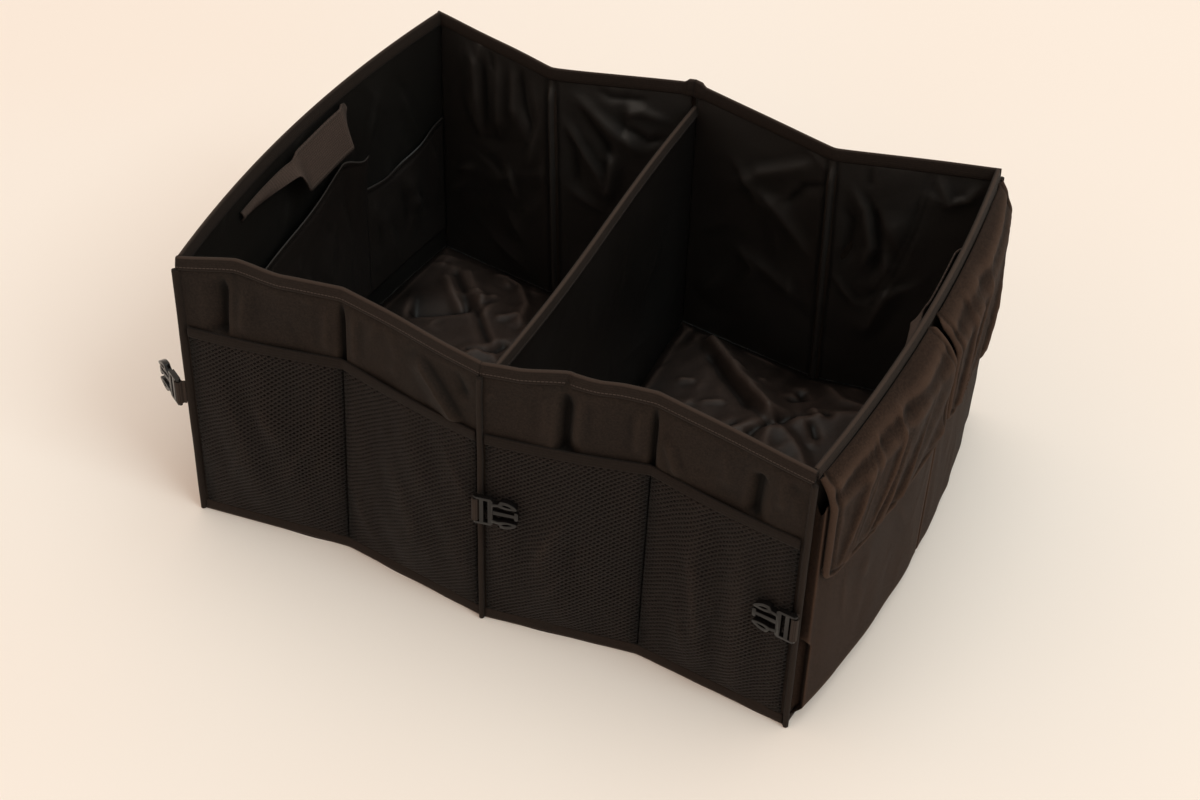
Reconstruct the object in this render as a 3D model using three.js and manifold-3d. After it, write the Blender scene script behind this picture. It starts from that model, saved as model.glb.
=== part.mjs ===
// Collapsible trunk organizer: two compartments, folding walls, mesh pockets, side pockets with flaps.
// Millimetres, +Z up, +X along the front, +Y to the back. The origin is under the middle of the divider.
import * as THREE from 'three';
import { mergeVertices } from 'three/addons/utils/BufferGeometryUtils.js';
import Module from 'manifold-3d';

const wasm = await Module();
wasm.setup();

// Body of the organizer
const width = 600;
const depth = 476;
const height = 300;
const wallThickness = 4;
const seamGap = 0.3;

// How the stiffened walls stand: the long walls fold inward at mid panel, the ends bow outward
const frontFoldTop = 29;
const frontFoldBottom = 17;
const backFoldTop = 42;
const backFoldBottom = 22;
const frontSeamX = 4;
const frontSeamBulge = 5;
const backSeamX = -12;
const leftBowTop = 21;
const leftBowBottom = 15;
const rightBowTop = 14;
const rightBowBottom = 11;
const panelLevels = 4;
const panelSteps = 6;

// Where the front wall's cloth gives at the rim: place along X, reach and depth
const frontLeftDent = [-250, 40, 10];
const frontRightDent = [77, 34, 7];
const dentLevel = 3;
const endSteps = 12;

// Divider
const dividerFrontX = 12;
const dividerBackX = -10;
const dividerFrontHeight = 293;
const dividerBackHeight = 276;
const dividerFrontInset = 3.3;
const dividerBackInset = 6.5;

// Folding floor
const floorThickness = 3;
const floorClearance = 1.4;
const floorRise = 30;
const floorRidgeShare = 0.37;
const floorCells = 20;
const floorFoldFade = 0.12;

// Folds of the floor cloth: height, reach and line of each, meeting where the boards' folds meet
const rightFloorFolds = [
  [9, 24, [[30, 203], [95, 142], [152, 93]]],
  [-5, 14, [[132, 60], [152, 93], [204, 136]]],
  [6, 20, [[152, 93], [214, 30]]],
  [5, 22, [[152, 90], [166, 10], [150, -90]]],
  [6, 22, [[152, 90], [90, 30], [30, -40]]],
  [6, 22, [[150, -90], [290, 40]]],
  [6, 22, [[150, -90], [30, -200]]],
  [6, 22, [[150, -90], [280, -205]]],
  [5, 20, [[156, 98], [280, 206]]],
];
const leftFloorFolds = [
  [-5, 14, [[-262, 190], [-203, 128], [-152, 68]]],
  [-5, 14, [[-268, 98], [-204, 130]]],
  [6, 18, [[-226, 204], [-158, 158], [-142, 106]]],
  [6, 22, [[-152, 66], [-110, 10], [-30, -110]]],
  [5, 22, [[-152, 66], [-190, -10], [-150, -92]]],
  [6, 22, [[-150, -92], [-280, -206]]],
  [6, 22, [[-150, -92], [-30, -205]]],
  [6, 20, [[-142, 100], [-24, 204]]],
];

// Bound rim, corner piping and hem tape
const tapeThickness = 1.2;
const rimTapeHeight = 13;
const pipingRadius = 2.5;
const pipingSides = 8;
const hemTapeHeight = 11;
const endHemHeight = 6;
const hemLift = 1;

// Mesh pockets on the front
const meshThickness = 1;
const meshPocketHeight = 214;
const meshPocketBulge = 8;
const meshBulgeStart = 70;
const meshBulgeLevels = [24, 38, 54];
const meshMiddleLevel = 120;
const meshSteps = 8;
const meshSideMargin = 4.5;
const pocketTapeHeight = 12;

// Bellows pockets and their flaps on the right end
const sidePocketCornerDepth = 10;
const sidePocketCenterDepth = 24;
const sidePocketBottom = 8;
const sidePocketTop = 262;
const sidePocketEnd = 231;
const sidePocketCenterGap = 4;
const pocketSheet = 1.5;
const gussetFold = 9;
const pocketFaceSteps = 10;
const flapThickness = 2;
const flapEnd = 234;
const flapCenterGap = 2.5;
const flapBottom = 174;
const flapTop = 291;
const flapShoulder = 257;
const flapTopOut = 2;
const flapCornerRadius = 20;
const flapTopRadius = 9;
const flapSteps = 16;
const flapLevels = [190, 206, 222, 240];
const flapTopLevels = 5;
const flapWave = 2.6;
const flapWaveTurn = 0.2;
const flapPullDrop = 84;
const fastenerThickness = 1;
const fastenerLength = 60;
const fastenerHeight = 20;
const fastenerLift = 8;
const fastenerSteps = 4;

// Webbing handles inside both ends
const handleHeight = 38;
const handleTop = 285;
const handleThickness = 1.6;
const leftHandle = { from: -125, to: 66, standoff: 14 };
const rightHandle = { from: -66, to: 125, standoff: 9 };
const handleRun = 0.3;
const handlePinch = 0.5;
const handleSteps = 16;

// Slip pockets inside the left end
const slipThickness = 1.2;
const slipBottom = 32;
const slipSeamY = 90;
const slipEnd = 228;
const slipFrontHem = 196;
const slipRearHem = 177;
const slipFrontSag = 17;
const slipRearSag = 12;
const slipLevels = 5;
const slipSteps = 12;

// Side-release buckle plugs for 25 mm webbing, on short webbing tabs
const webbingWidth = 25;
const webbingThickness = 1.1;
const barRadius = 1.9;
const barClearance = 0.4;
const tabTail = 3;
const plugHalfWidth = 15.5;
const plugRail = 2.2;
const plugBaseThickness = 5;
const plugArmThickness = 5.5;
const plugGuideThickness = 3.5;
const plugChamfer = 2;
const plugMiddleBar = [4.3, 8];
const plugCrossBar = [12, 16.5];
const plugArmEnd = 38;
const plugGuideEnd = 39.5;
const centerPlugHeight = 146;
const leftPlugHeight = 146;
const rightPlugHeight = 132;

const halfWidth = width / 2;
const halfDepth = depth / 2;
const foldX = width / 4;
const rimUnderside = height - tapeThickness - seamGap;
const rimTapeBottom = height - rimTapeHeight;
const dentStart = rimTapeBottom * dentLevel / panelLevels;
const rimInnerOut = -wallThickness - seamGap - tapeThickness;
const rimOuterOut = seamGap + tapeThickness;
const cornerSlope = Math.max(frontFoldTop, backFoldTop) / foldX;

const outerCloth = new THREE.MeshStandardMaterial({ name: 'outer_cloth', color: 0x2a221f, roughness: 0.85 });
const liningCloth = new THREE.MeshStandardMaterial({ name: 'lining', color: 0x1a1716, roughness: 0.45 });
const bindingCloth = new THREE.MeshStandardMaterial({ name: 'binding', color: 0x2e2522, roughness: 0.8 });
const meshCloth = new THREE.MeshStandardMaterial({ name: 'mesh', color: 0x211b19, roughness: 0.75 });
const webbingCloth = new THREE.MeshStandardMaterial({ name: 'webbing', color: 0x2b2422, roughness: 0.7 });
const fastenerTape = new THREE.MeshStandardMaterial({ name: 'fastener_tape', color: 0x1d1a1a, roughness: 0.9 });
const buckleMaterial = new THREE.MeshStandardMaterial({ name: 'buckle', color: 0x141212, roughness: 0.4 });

const lerp = THREE.MathUtils.lerp;
const clamp = THREE.MathUtils.clamp;

// Solids

function signedVolume(geometry) {
  const points = geometry.getAttribute('position');
  const index = geometry.getIndex();
  const a = new THREE.Vector3();
  const b = new THREE.Vector3();
  const c = new THREE.Vector3();
  let total = 0;
  for (let i = 0; i < index.count; i += 3) {
    a.fromBufferAttribute(points, index.getX(i));
    b.fromBufferAttribute(points, index.getX(i + 1));
    c.fromBufferAttribute(points, index.getX(i + 2));
    total += a.dot(b.cross(c)) / 6;
  }
  return total;
}

// One closed body from a three.js geometry, with its faces pointing out
function closedBody(geometry) {
  geometry.deleteAttribute('normal');
  geometry.deleteAttribute('uv');
  const merged = mergeVertices(geometry, 1e-4);
  if (signedVolume(merged) < 0) {
    merged.setIndex(Array.from(merged.getIndex().array).reverse());
  }
  return merged;
}

// Moves every vertex of a geometry by a function of its place, then closes it
function reshaped(geometry, place) {
  const points = geometry.getAttribute('position');
  const point = new THREE.Vector3();
  for (let i = 0; i < points.count; i += 1) {
    const moved = place(point.fromBufferAttribute(points, i));
    points.setXYZ(i, moved.x, moved.y, moved.z);
  }
  return closedBody(geometry);
}

function toManifold(geometry) {
  return new wasm.Manifold(new wasm.Mesh({
    numProp: 3,
    vertProperties: new Float32Array(geometry.getAttribute('position').array),
    triVerts: new Uint32Array(geometry.getIndex().array),
  }));
}

function fromManifold(body) {
  const mesh = body.getMesh();
  const geometry = new THREE.BufferGeometry();
  geometry.setAttribute('position', new THREE.BufferAttribute(mesh.vertProperties, 3));
  geometry.setIndex(new THREE.BufferAttribute(mesh.triVerts, 1));
  return geometry;
}

function joined(geometries) {
  return fromManifold(geometries.map(toManifold).reduce((whole, piece) => whole.add(piece)));
}

// A flat outline pushed straight up from a height
function prism(outline, low, high, steps = 1) {
  const geometry = new THREE.ExtrudeGeometry(outline, {
    depth: high - low, steps, bevelEnabled: false, curveSegments: 8,
  });
  geometry.translate(0, 0, low);
  return geometry;
}

function outlineOf(points) {
  return new THREE.Shape(points.map(([x, y]) => new THREE.Vector2(x, y)));
}

// A section of (outward, up) points swept along a wall from one station to another
function sweep(section, from, to, steps, place) {
  return reshaped(prism(outlineOf(section), from, to, steps), (p) => place(p.z, p.x, p.y));
}

function levels(low, high, count) {
  return Array.from({ length: count + 1 }, (_, i) => lerp(low, high, i / count));
}

// A sheet along a wall, between two outward distances, with a row of points at each height
function sheet(place, [inner, outer], heights, from, to, steps) {
  const bands = heights.length - 1;
  const cells = new THREE.BoxGeometry(1, bands, steps, 1, bands, steps);
  cells.translate(0.5, bands / 2, steps / 2);
  return reshaped(cells, (p) => {
    const station = lerp(from, to, p.z / steps);
    return place(station, lerp(inner, outer, p.x), heights[Math.round(p.y)]);
  });
}

// Walls: each gives the place of (station, outward distance, height)

// A long wall's half: station 0 at the corner, 1 at the middle fold, 2 at the centre seam
function longWall(side, cornerX, seamX, seamBulge, foldTop, foldBottom, dent = [0, 1, 0]) {
  const [dentX, dentReach, dentDepth] = dent;
  const middleX = Math.sign(cornerX) * foldX;
  const plan = (s) => (s < 1 ? lerp(cornerX, middleX, s) : lerp(middleX, seamX, s - 1));
  const faceY = (s, z) => {
    const inward = (s < 1 ? s : 2 - s) * lerp(foldBottom, foldTop, z / height);
    const bulge = Math.max(0, s - 1) * seamBulge;
    const nearDent = clamp(1 - Math.abs(plan(s) - dentX) / dentReach, 0, 1);
    const up = clamp((z - dentStart) / (rimTapeBottom - dentStart), 0, 1);
    return halfDepth - inward + bulge - dentDepth * nearDent * up;
  };
  const station = (x) => {
    const fromCorner = (x - cornerX) / (middleX - cornerX);
    return fromCorner < 1 ? fromCorner : 1 + (x - middleX) / (seamX - middleX);
  };
  const place = (s, out, z) => new THREE.Vector3(plan(s), side * (faceY(s, z) + out), z);
  const firstSpan = Math.abs(middleX - cornerX);
  const secondSpan = Math.abs(seamX - middleX);
  return { side, place, faceY, station, firstSpan, secondSpan };
}

// An end wall: the station is y
function endWall(side, bowTop, bowBottom) {
  const faceX = (y, z) => {
    const bow = lerp(bowBottom, bowTop, z / height);
    return halfWidth + bow * (1 - (y / halfDepth) ** 2);
  };
  const place = (y, out, z) => new THREE.Vector3(side * (faceX(y, z) + out), y, z);
  return { side, place, faceX };
}

const frontFolds = [frontSeamX, frontSeamBulge, frontFoldTop, frontFoldBottom];
const frontLeft = longWall(-1, -halfWidth, ...frontFolds, frontLeftDent);
const frontRight = longWall(-1, halfWidth, ...frontFolds, frontRightDent);
const backLeft = longWall(1, -halfWidth, backSeamX, 0, backFoldTop, backFoldBottom);
const backRight = longWall(1, halfWidth, backSeamX, 0, backFoldTop, backFoldBottom);
const leftEnd = endWall(-1, leftBowTop, leftBowBottom);
const rightEnd = endWall(1, rightBowTop, rightBowBottom);

const organizer = new THREE.Group();
organizer.name = 'trunk_organizer';

function add(name, geometry, material) {
  const mesh = new THREE.Mesh(geometry, material);
  mesh.name = name;
  organizer.add(mesh);
  return mesh;
}

// Stiffened wall panels

function halfPanel(wall, half) {
  const heights = [...levels(0, rimTapeBottom, panelLevels), rimUnderside];
  const span = half === 0 ? wall.firstSpan : wall.secondSpan;
  const trim = seamGap / 2 / span;
  const from = half === 0 ? 0 : 1 + trim;
  const to = half === 0 ? 1 - trim : 2 - trim;
  return sheet(wall.place, [-wallThickness, 0], heights, from, to, panelSteps);
}

const panelSides = { front: [frontLeft, frontRight], back: [backLeft, backRight] };
for (const [side, [left, right]] of Object.entries(panelSides)) {
  add(`${side}_panel_1`, halfPanel(left, 0), outerCloth);
  add(`${side}_panel_2`, halfPanel(left, 1), outerCloth);
  add(`${side}_panel_3`, halfPanel(right, 1), outerCloth);
  add(`${side}_panel_4`, halfPanel(right, 0), outerCloth);
}

// An end panel stops short of the bound rims of the long walls, which already lean in at the corners
const endPanelReach = halfDepth + rimInnerOut * (1 + cornerSlope) - seamGap;
for (const [name, wall] of [['left_end_panel', leftEnd], ['right_end_panel', rightEnd]]) {
  const heights = levels(0, rimUnderside, panelLevels);
  const faces = [-wallThickness, 0];
  add(name, sheet(wall.place, faces, heights, -endPanelReach, endPanelReach, endSteps), outerCloth);
}

// Divider

const dividerFrontY = -halfDepth - frontSeamBulge - rimInnerOut + dividerFrontInset;
const dividerBackY = halfDepth - dividerBackInset;

function dividerX(y) {
  return lerp(dividerFrontX, dividerBackX, (y - dividerFrontY) / (dividerBackY - dividerFrontY));
}

function dividerTop(y) {
  const share = (y - dividerFrontY) / (dividerBackY - dividerFrontY);
  return lerp(dividerFrontHeight, dividerBackHeight, share);
}

// Heights above the floor follow the divider's sloping top edge
function dividerPlace(y, out, z) {
  return new THREE.Vector3(dividerX(y) + out, y, z * dividerTop(y) / height);
}

const dividerHalf = wallThickness / 2;
const dividerFaces = [-dividerHalf, dividerHalf];
const dividerHeights = [0, rimUnderside];
const dividerBody = sheet(dividerPlace, dividerFaces, dividerHeights, dividerFrontY, dividerBackY, 2);
add('divider_panel', dividerBody, liningCloth);

// Folding floors: a low hipped roof, as a paper bag's bottom stands when it is opened

function floorHeight(across, along) {
  const fromSide = 1 - Math.abs(across);
  const fromEnd = (1 - Math.abs(along)) / (1 - floorRidgeShare);
  return floorRise * Math.min(fromSide, fromEnd);
}

function distanceToLine(x, y, line) {
  let nearest = Infinity;
  for (let i = 1; i < line.length; i += 1) {
    const [ax, ay] = line[i - 1];
    const [bx, by] = line[i];
    const lengthSquared = (bx - ax) ** 2 + (by - ay) ** 2;
    const share = clamp(((x - ax) * (bx - ax) + (y - ay) * (by - ay)) / lengthSquared, 0, 1);
    const far = Math.hypot(x - lerp(ax, bx, share), y - lerp(ay, by, share));
    nearest = Math.min(nearest, far);
  }
  return nearest;
}

function foldRelief(folds, x, y) {
  return folds.reduce((sum, [rise, reach, line]) => {
    return sum + rise * Math.max(0, 1 - distanceToLine(x, y, line) / reach);
  }, 0);
}

function longFaceY(left, right, seamX, x) {
  const wall = x < seamX ? left : right;
  return wall.faceY(wall.station(x), 0);
}

function foldedFloor(end, folds) {
  const inside = wallThickness + floorClearance;
  const cells = new THREE.BoxGeometry(2, 2, 1, floorCells, floorCells, 1);
  return reshaped(cells, (p) => {
    const middleY = p.y * (halfDepth - inside);
    const outerX = end.side * (end.faceX(middleY, 0) - inside);
    const innerX = dividerX(middleY) + end.side * (dividerHalf + seamGap);
    const x = lerp(outerX, innerX, (p.x + 1) / 2);
    const frontY = -longFaceY(frontLeft, frontRight, frontSeamX, x) + inside;
    const backY = longFaceY(backLeft, backRight, backSeamX, x) - inside;
    const y = lerp(frontY, backY, (p.y + 1) / 2);
    const inner = clamp((1 - Math.max(Math.abs(p.x), Math.abs(p.y))) / floorFoldFade, 0, 1);
    const rise = floorHeight(p.x, p.y) + inner * foldRelief(folds, x, y);
    const z = seamGap + (p.z + 0.5) * floorThickness + rise;
    return new THREE.Vector3(x, y, z);
  });
}

add('left_floor', foldedFloor(leftEnd, leftFloorFolds), liningCloth);
add('right_floor', foldedFloor(rightEnd, rightFloorFolds), liningCloth);

// Bound rim: a folded tape over each wall's top edge

const rimSection = [
  [rimInnerOut, rimTapeBottom],
  [rimInnerOut + tapeThickness, rimTapeBottom],
  [rimInnerOut + tapeThickness, rimUnderside + seamGap],
  [seamGap, rimUnderside + seamGap],
  [seamGap, rimTapeBottom],
  [rimOuterOut, rimTapeBottom],
  [rimOuterOut, height],
  [rimInnerOut, height],
];

function longRim(wall) {
  const trim = seamGap / 2 / wall.secondSpan;
  return sweep(rimSection, 0, 2 - trim, 2 * panelSteps, wall.place);
}

add('rim_front_left', longRim(frontLeft), bindingCloth);
add('rim_front_right', longRim(frontRight), bindingCloth);
add('rim_back_left', longRim(backLeft), bindingCloth);
add('rim_back_right', longRim(backRight), bindingCloth);

add('rim_left_end', sweep(rimSection, -endPanelReach, endPanelReach, endSteps, leftEnd.place), bindingCloth);
add('rim_right_end', sweep(rimSection, -endPanelReach, endPanelReach, endSteps, rightEnd.place), bindingCloth);

const dividerRimSection = rimSection.map(([out, z]) => [out + dividerHalf, z]);
add('rim_divider', sweep(dividerRimSection, dividerFrontY, dividerBackY, 2, dividerPlace), bindingCloth);

// Piping down the corners and the centre seams

const pipingReach = pipingRadius + seamGap;
const cornerPipingOut = pipingReach / Math.SQRT2;
const pipingTop = rimTapeBottom - seamGap;

function piping(x, y) {
  const cord = new THREE.CylinderGeometry(pipingRadius, pipingRadius, pipingTop - hemLift, pipingSides);
  cord.rotateX(Math.PI / 2);
  cord.translate(x, y, (pipingTop + hemLift) / 2);
  return closedBody(cord);
}

const cornerPiping = {
  front_left: [-1, -1],
  front_right: [1, -1],
  back_left: [-1, 1],
  back_right: [1, 1],
};
for (const [corner, [sideX, sideY]] of Object.entries(cornerPiping)) {
  const x = sideX * (halfWidth + cornerPipingOut);
  const y = sideY * (halfDepth + cornerPipingOut);
  add(`corner_piping_${corner}`, piping(x, y), bindingCloth);
}

const frontPipingY = -halfDepth - frontSeamBulge - pipingReach;
add('center_piping_front', piping(frontSeamX, frontPipingY), bindingCloth);
add('center_piping_back', piping(backSeamX, halfDepth + pipingReach), bindingCloth);

// Hem tape round the bottom

function longHem(wall) {
  const fromCorner = meshSideMargin / wall.firstSpan;
  const fromSeam = meshSideMargin / wall.secondSpan;
  const heights = [hemLift, hemLift + hemTapeHeight];
  const steps = 2 * panelSteps;
  return sheet(wall.place, [seamGap, rimOuterOut], heights, fromCorner, 2 - fromSeam, steps);
}

function endHem(wall) {
  const heights = [hemLift, hemLift + endHemHeight];
  const reach = halfDepth - meshSideMargin;
  return sheet(wall.place, [seamGap, rimOuterOut], heights, -reach, reach, endSteps);
}

add('hem_front_left', longHem(frontLeft), bindingCloth);
add('hem_front_right', longHem(frontRight), bindingCloth);
add('hem_back_left', longHem(backLeft), bindingCloth);
add('hem_back_right', longHem(backRight), bindingCloth);
add('hem_left_end', endHem(leftEnd), bindingCloth);
add('hem_right_end', endHem(rightEnd), bindingCloth);

// Mesh pockets, each sewn down at its sides and bottom and standing off at the top

function meshStandoff(s, z) {
  const across = Math.sin(Math.PI * (s < 1 ? s : s - 1));
  const up = clamp((z - hemTapeHeight) / (meshBulgeStart - hemTapeHeight), 0, 1);
  return seamGap + meshPocketBulge * across * Math.sin(up * Math.PI / 2);
}

function meshPlace(wall) {
  return (s, out, z) => wall.place(s, out + meshStandoff(s, z), z);
}

const meshBottom = hemLift + hemTapeHeight + seamGap;
const meshHeights = [meshBottom, ...meshBulgeLevels, meshBulgeStart, meshMiddleLevel, meshPocketHeight];

function meshPocket(wall, half) {
  const edge = half === 0 ? meshSideMargin / wall.firstSpan : meshSideMargin / wall.secondSpan;
  const foldTrim = seamGap / wall.firstSpan;
  const from = half === 0 ? edge : 1 + foldTrim;
  const to = half === 0 ? 1 - foldTrim : 2 - edge;
  return sheet(meshPlace(wall), [0, meshThickness], meshHeights, from, to, meshSteps);
}

function pocketTape(wall) {
  const low = meshPocketHeight + seamGap;
  const heights = [low, low + pocketTapeHeight];
  const from = meshSideMargin / wall.firstSpan;
  const to = 2 - meshSideMargin / wall.secondSpan;
  return sheet(meshPlace(wall), [0, tapeThickness], heights, from, to, 2 * meshSteps);
}

add('mesh_pocket_1', meshPocket(frontLeft, 0), meshCloth);
add('mesh_pocket_2', meshPocket(frontLeft, 1), meshCloth);
add('mesh_pocket_3', meshPocket(frontRight, 1), meshCloth);
add('mesh_pocket_4', meshPocket(frontRight, 0), meshCloth);
add('mesh_pocket_tape_left', pocketTape(frontLeft), bindingCloth);
add('mesh_pocket_tape_right', pocketTape(frontRight), bindingCloth);

// Bellows pockets on the right end

function sidePocketDepth(y) {
  const towardCenter = 1 - (y / sidePocketEnd) ** 2;
  return lerp(sidePocketCornerDepth, sidePocketCenterDepth, towardCenter);
}

// A pocket's plan: two folded gussets and a bowed front sheet, drawn at the foot of the end wall
function pocketPlan(low, high, sheetInset) {
  const shift = (y, share) => share * (sidePocketDepth(y) - sheetInset);
  const at = (y, share) => [rightEnd.faceX(y, 0) + seamGap + shift(y, share), y];
  const faceInset = 1.5 * sheetInset;
  const face = levels(low + faceInset, high - faceInset, pocketFaceSteps).map((y) => at(y, 1));
  const lowFold = at(low + gussetFold + sheetInset, 0.5);
  const highFold = at(high - gussetFold - sheetInset, 0.5);
  return [at(low + sheetInset, 0), lowFold, ...face, highFold, at(high - sheetInset, 0)];
}

// Follows the end wall, which bows a little more toward the rim
function leanWithEnd(p) {
  return new THREE.Vector3(p.x + rightEnd.faceX(p.y, p.z) - rightEnd.faceX(p.y, 0), p.y, p.z);
}

// The cavity is open at the mouth and against the end wall, which the pocket is sewn to
function bellowsPocket(low, high) {
  const outside = pocketPlan(low, high, 0);
  const inside = pocketPlan(low, high, pocketSheet);
  const behind = levels(high, low, pocketFaceSteps).slice(1, -1);
  const backing = behind.map((y) => [rightEnd.faceX(y, 0) + seamGap, y]);
  const behindWall = [[halfWidth - pocketSheet, high - pocketSheet], [halfWidth - pocketSheet, low + pocketSheet]];
  const body = prism(outlineOf([...outside, ...backing]), sidePocketBottom, sidePocketTop);
  const floor = sidePocketBottom + pocketSheet;
  const cavity = prism(outlineOf([...inside, ...behindWall]), floor, sidePocketTop + pocketSheet);
  const solid = toManifold(reshaped(body, leanWithEnd));
  return fromManifold(solid.subtract(toManifold(reshaped(cavity, leanWithEnd))));
}

add('side_pocket_front', bellowsPocket(-sidePocketEnd, -sidePocketCenterGap), outerCloth);
add('side_pocket_rear', bellowsPocket(sidePocketCenterGap, sidePocketEnd), outerCloth);

// Flaps over the side pockets, with a hook strip under each and a loop strip on each pocket

const stripClearance = seamGap + fastenerThickness;
const flapClearance = seamGap + 2 * stripClearance + seamGap;

function flapOut(y, z) {
  const fall = clamp((flapTop - z) / (flapTop - flapShoulder), 0, 1);
  const lowOut = sidePocketDepth(y) + flapClearance;
  return lerp(flapTopOut, lowOut, Math.sin(fall * Math.PI / 2));
}

// Wrinkles fan out from below the flap's front corner, and die away at its sewn edge and at its sides
function flapWrinkle(y, z, low, high) {
  const turn = Math.atan2(y - low + gussetFold, z - flapBottom + flapPullDrop);
  const hang = clamp((flapTop - z) / (flapTop - flapShoulder), 0, 1);
  const side = clamp(Math.min(y - low, high - y) / flapCornerRadius, 0, 1);
  return flapWave * hang * side * (0.5 + 0.5 * Math.sin(2 * Math.PI * turn / flapWaveTurn));
}

// The flap's cut: round lower corners, and a round top corner at the middle of the end
function flapCut(low, high, centerSide) {
  const lowTop = centerSide < 0 ? flapTopRadius : 1;
  const highTop = centerSide > 0 ? flapTopRadius : 1;
  const r = flapCornerRadius;
  const cut = new THREE.Shape();
  cut.moveTo(low + r, flapBottom);
  cut.lineTo(high - r, flapBottom);
  cut.absarc(high - r, flapBottom + r, r, -Math.PI / 2, 0);
  cut.absarc(high - highTop, flapTop - highTop, highTop, 0, Math.PI / 2);
  cut.absarc(low + lowTop, flapTop - lowTop, lowTop, Math.PI / 2, Math.PI);
  cut.absarc(low + r, flapBottom + r, r, Math.PI, Math.PI * 1.5);
  const reach = 2 * (sidePocketCenterDepth + rightBowTop + flapClearance);
  const block = prism(cut, halfWidth - reach, halfWidth + reach);
  return reshaped(block, (p) => new THREE.Vector3(p.z, p.x, p.y));
}

function flap(low, high, centerSide) {
  const margin = 1;
  const heights = [flapBottom - margin, ...flapLevels, ...levels(flapShoulder, flapTop, flapTopLevels)];
  heights[heights.length - 1] = flapTop + margin;
  const place = (y, out, z) => rightEnd.place(y, flapOut(y, z) + flapWrinkle(y, z, low, high) + out, z);
  const cloth = sheet(place, [0, flapThickness], heights, low - margin, high + margin, flapSteps);
  const cut = flapCut(low, high, centerSide);
  return fromManifold(toManifold(cloth).intersect(toManifold(cut)));
}

function fastenerStrip(centerY, fromPocket) {
  const low = flapBottom + fastenerLift;
  const heights = [low, low + fastenerHeight];
  const half = fastenerLength / 2;
  const place = (y, out, z) => rightEnd.place(y, sidePocketDepth(y) + seamGap + fromPocket + out, z);
  return sheet(place, [0, fastenerThickness], heights, centerY - half, centerY + half, fastenerSteps);
}

const flapMiddle = (flapEnd + flapCenterGap) / 2;
for (const [name, side] of [['front', -1], ['rear', 1]]) {
  const ends = [side * flapCenterGap, side * flapEnd].sort((a, b) => a - b);
  add(`flap_${name}`, flap(ends[0], ends[1], -side), outerCloth);
  add(`loop_strip_${name}`, fastenerStrip(side * flapMiddle, seamGap), fastenerTape);
  add(`hook_strip_${name}`, fastenerStrip(side * flapMiddle, seamGap + stripClearance), fastenerTape);
}

// Webbing handles inside both ends, sewn down at their ends and slack between

// The strap narrows where it runs down to its sewn ends
function handle(wall, { from, to, standoff }) {
  const heights = [handleTop - handleHeight, handleTop];
  const middle = handleTop - handleHeight / 2;
  const place = (y, out, z) => {
    const fromEnd = Math.min(y - from, to - y) / (to - from);
    const rise = THREE.MathUtils.smoothstep(fromEnd, 0, handleRun);
    const slack = standoff * rise;
    return wall.place(y, -wallThickness - seamGap - slack - out, middle + (z - middle) * lerp(handlePinch, 1, rise));
  };
  return sheet(place, [0, handleThickness], heights, from, to, handleSteps);
}

add('handle_left', handle(leftEnd, leftHandle), webbingCloth);
add('handle_right', handle(rightEnd, rightHandle), webbingCloth);

// Slip pockets inside the left end: the front one sags open at its hem

function slipPocket(from, to, hem, sag) {
  const heights = levels(slipBottom, hem, slipLevels);
  const place = (y, out, z) => {
    const across = Math.sin(Math.PI * (y - from) / (to - from));
    const up = ((z - slipBottom) / (hem - slipBottom)) ** 1.5;
    return leftEnd.place(y, -wallThickness - seamGap - sag * across * up - out, z);
  };
  return sheet(place, [0, slipThickness], heights, from, to, slipSteps);
}

add('inner_pocket_front', slipPocket(-slipEnd, slipSeamY - seamGap, slipFrontHem, slipFrontSag), liningCloth);
add('inner_pocket_rear', slipPocket(slipSeamY, slipEnd, slipRearHem, slipRearSag), liningCloth);

// Buckle plugs. In a plug's own frame +X runs from the webbing bar to the tip, and Z is its width.

const loopInner = barRadius + barClearance;
const loopOuter = loopInner + webbingThickness;
const tabReach = pipingReach + tabTail + loopOuter;

function webbingTab() {
  const tail = webbingThickness;
  const start = Math.asin(tail / loopOuter);
  const outline = new THREE.Shape();
  outline.moveTo(-tabReach + pipingReach, -tail);
  outline.lineTo(-loopOuter * Math.cos(start), -tail);
  outline.absarc(0, 0, loopOuter, Math.PI + start, Math.PI - start, false);
  outline.lineTo(-tabReach + pipingReach, tail);
  const eye = new THREE.Path();
  eye.absarc(0, 0, loopInner, 0, Math.PI * 2, true);
  outline.holes.push(eye);
  return closedBody(prism(outline, -webbingWidth / 2, webbingWidth / 2));
}

// A flat piece of the plug, drawn in its length and width; side -1 mirrors it to the other edge
function plugPiece(outline, thickness, side = 1) {
  const plate = prism(outline, -thickness / 2, thickness / 2);
  return reshaped(plate, (p) => new THREE.Vector3(p.x, p.z, side * p.y));
}

function plugBase() {
  const inner = plugHalfWidth - plugRail;
  const [barFrom, barTo] = plugMiddleBar;
  const [crossFrom, crossTo] = plugCrossBar;
  const outline = outlineOf([
    [0, -plugHalfWidth], [crossTo - plugChamfer, -plugHalfWidth], [crossTo, -plugHalfWidth + plugChamfer],
    [crossTo, plugHalfWidth - plugChamfer], [crossTo - plugChamfer, plugHalfWidth], [0, plugHalfWidth],
    [0, inner], [barFrom, inner], [barFrom, -inner], [0, -inner],
  ]);
  const slotHalf = webbingWidth / 2 + barClearance;
  const slot = new THREE.Path([
    new THREE.Vector2(barTo, -slotHalf),
    new THREE.Vector2(barTo, slotHalf),
    new THREE.Vector2(crossFrom, slotHalf),
    new THREE.Vector2(crossFrom, -slotHalf),
  ]);
  outline.holes.push(slot);
  return plugPiece(outline, plugBaseThickness);
}

function webbingBar() {
  const bar = new THREE.CylinderGeometry(barRadius, barRadius, 2 * plugHalfWidth, 8);
  bar.rotateX(Math.PI / 2);
  return closedBody(bar);
}

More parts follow.
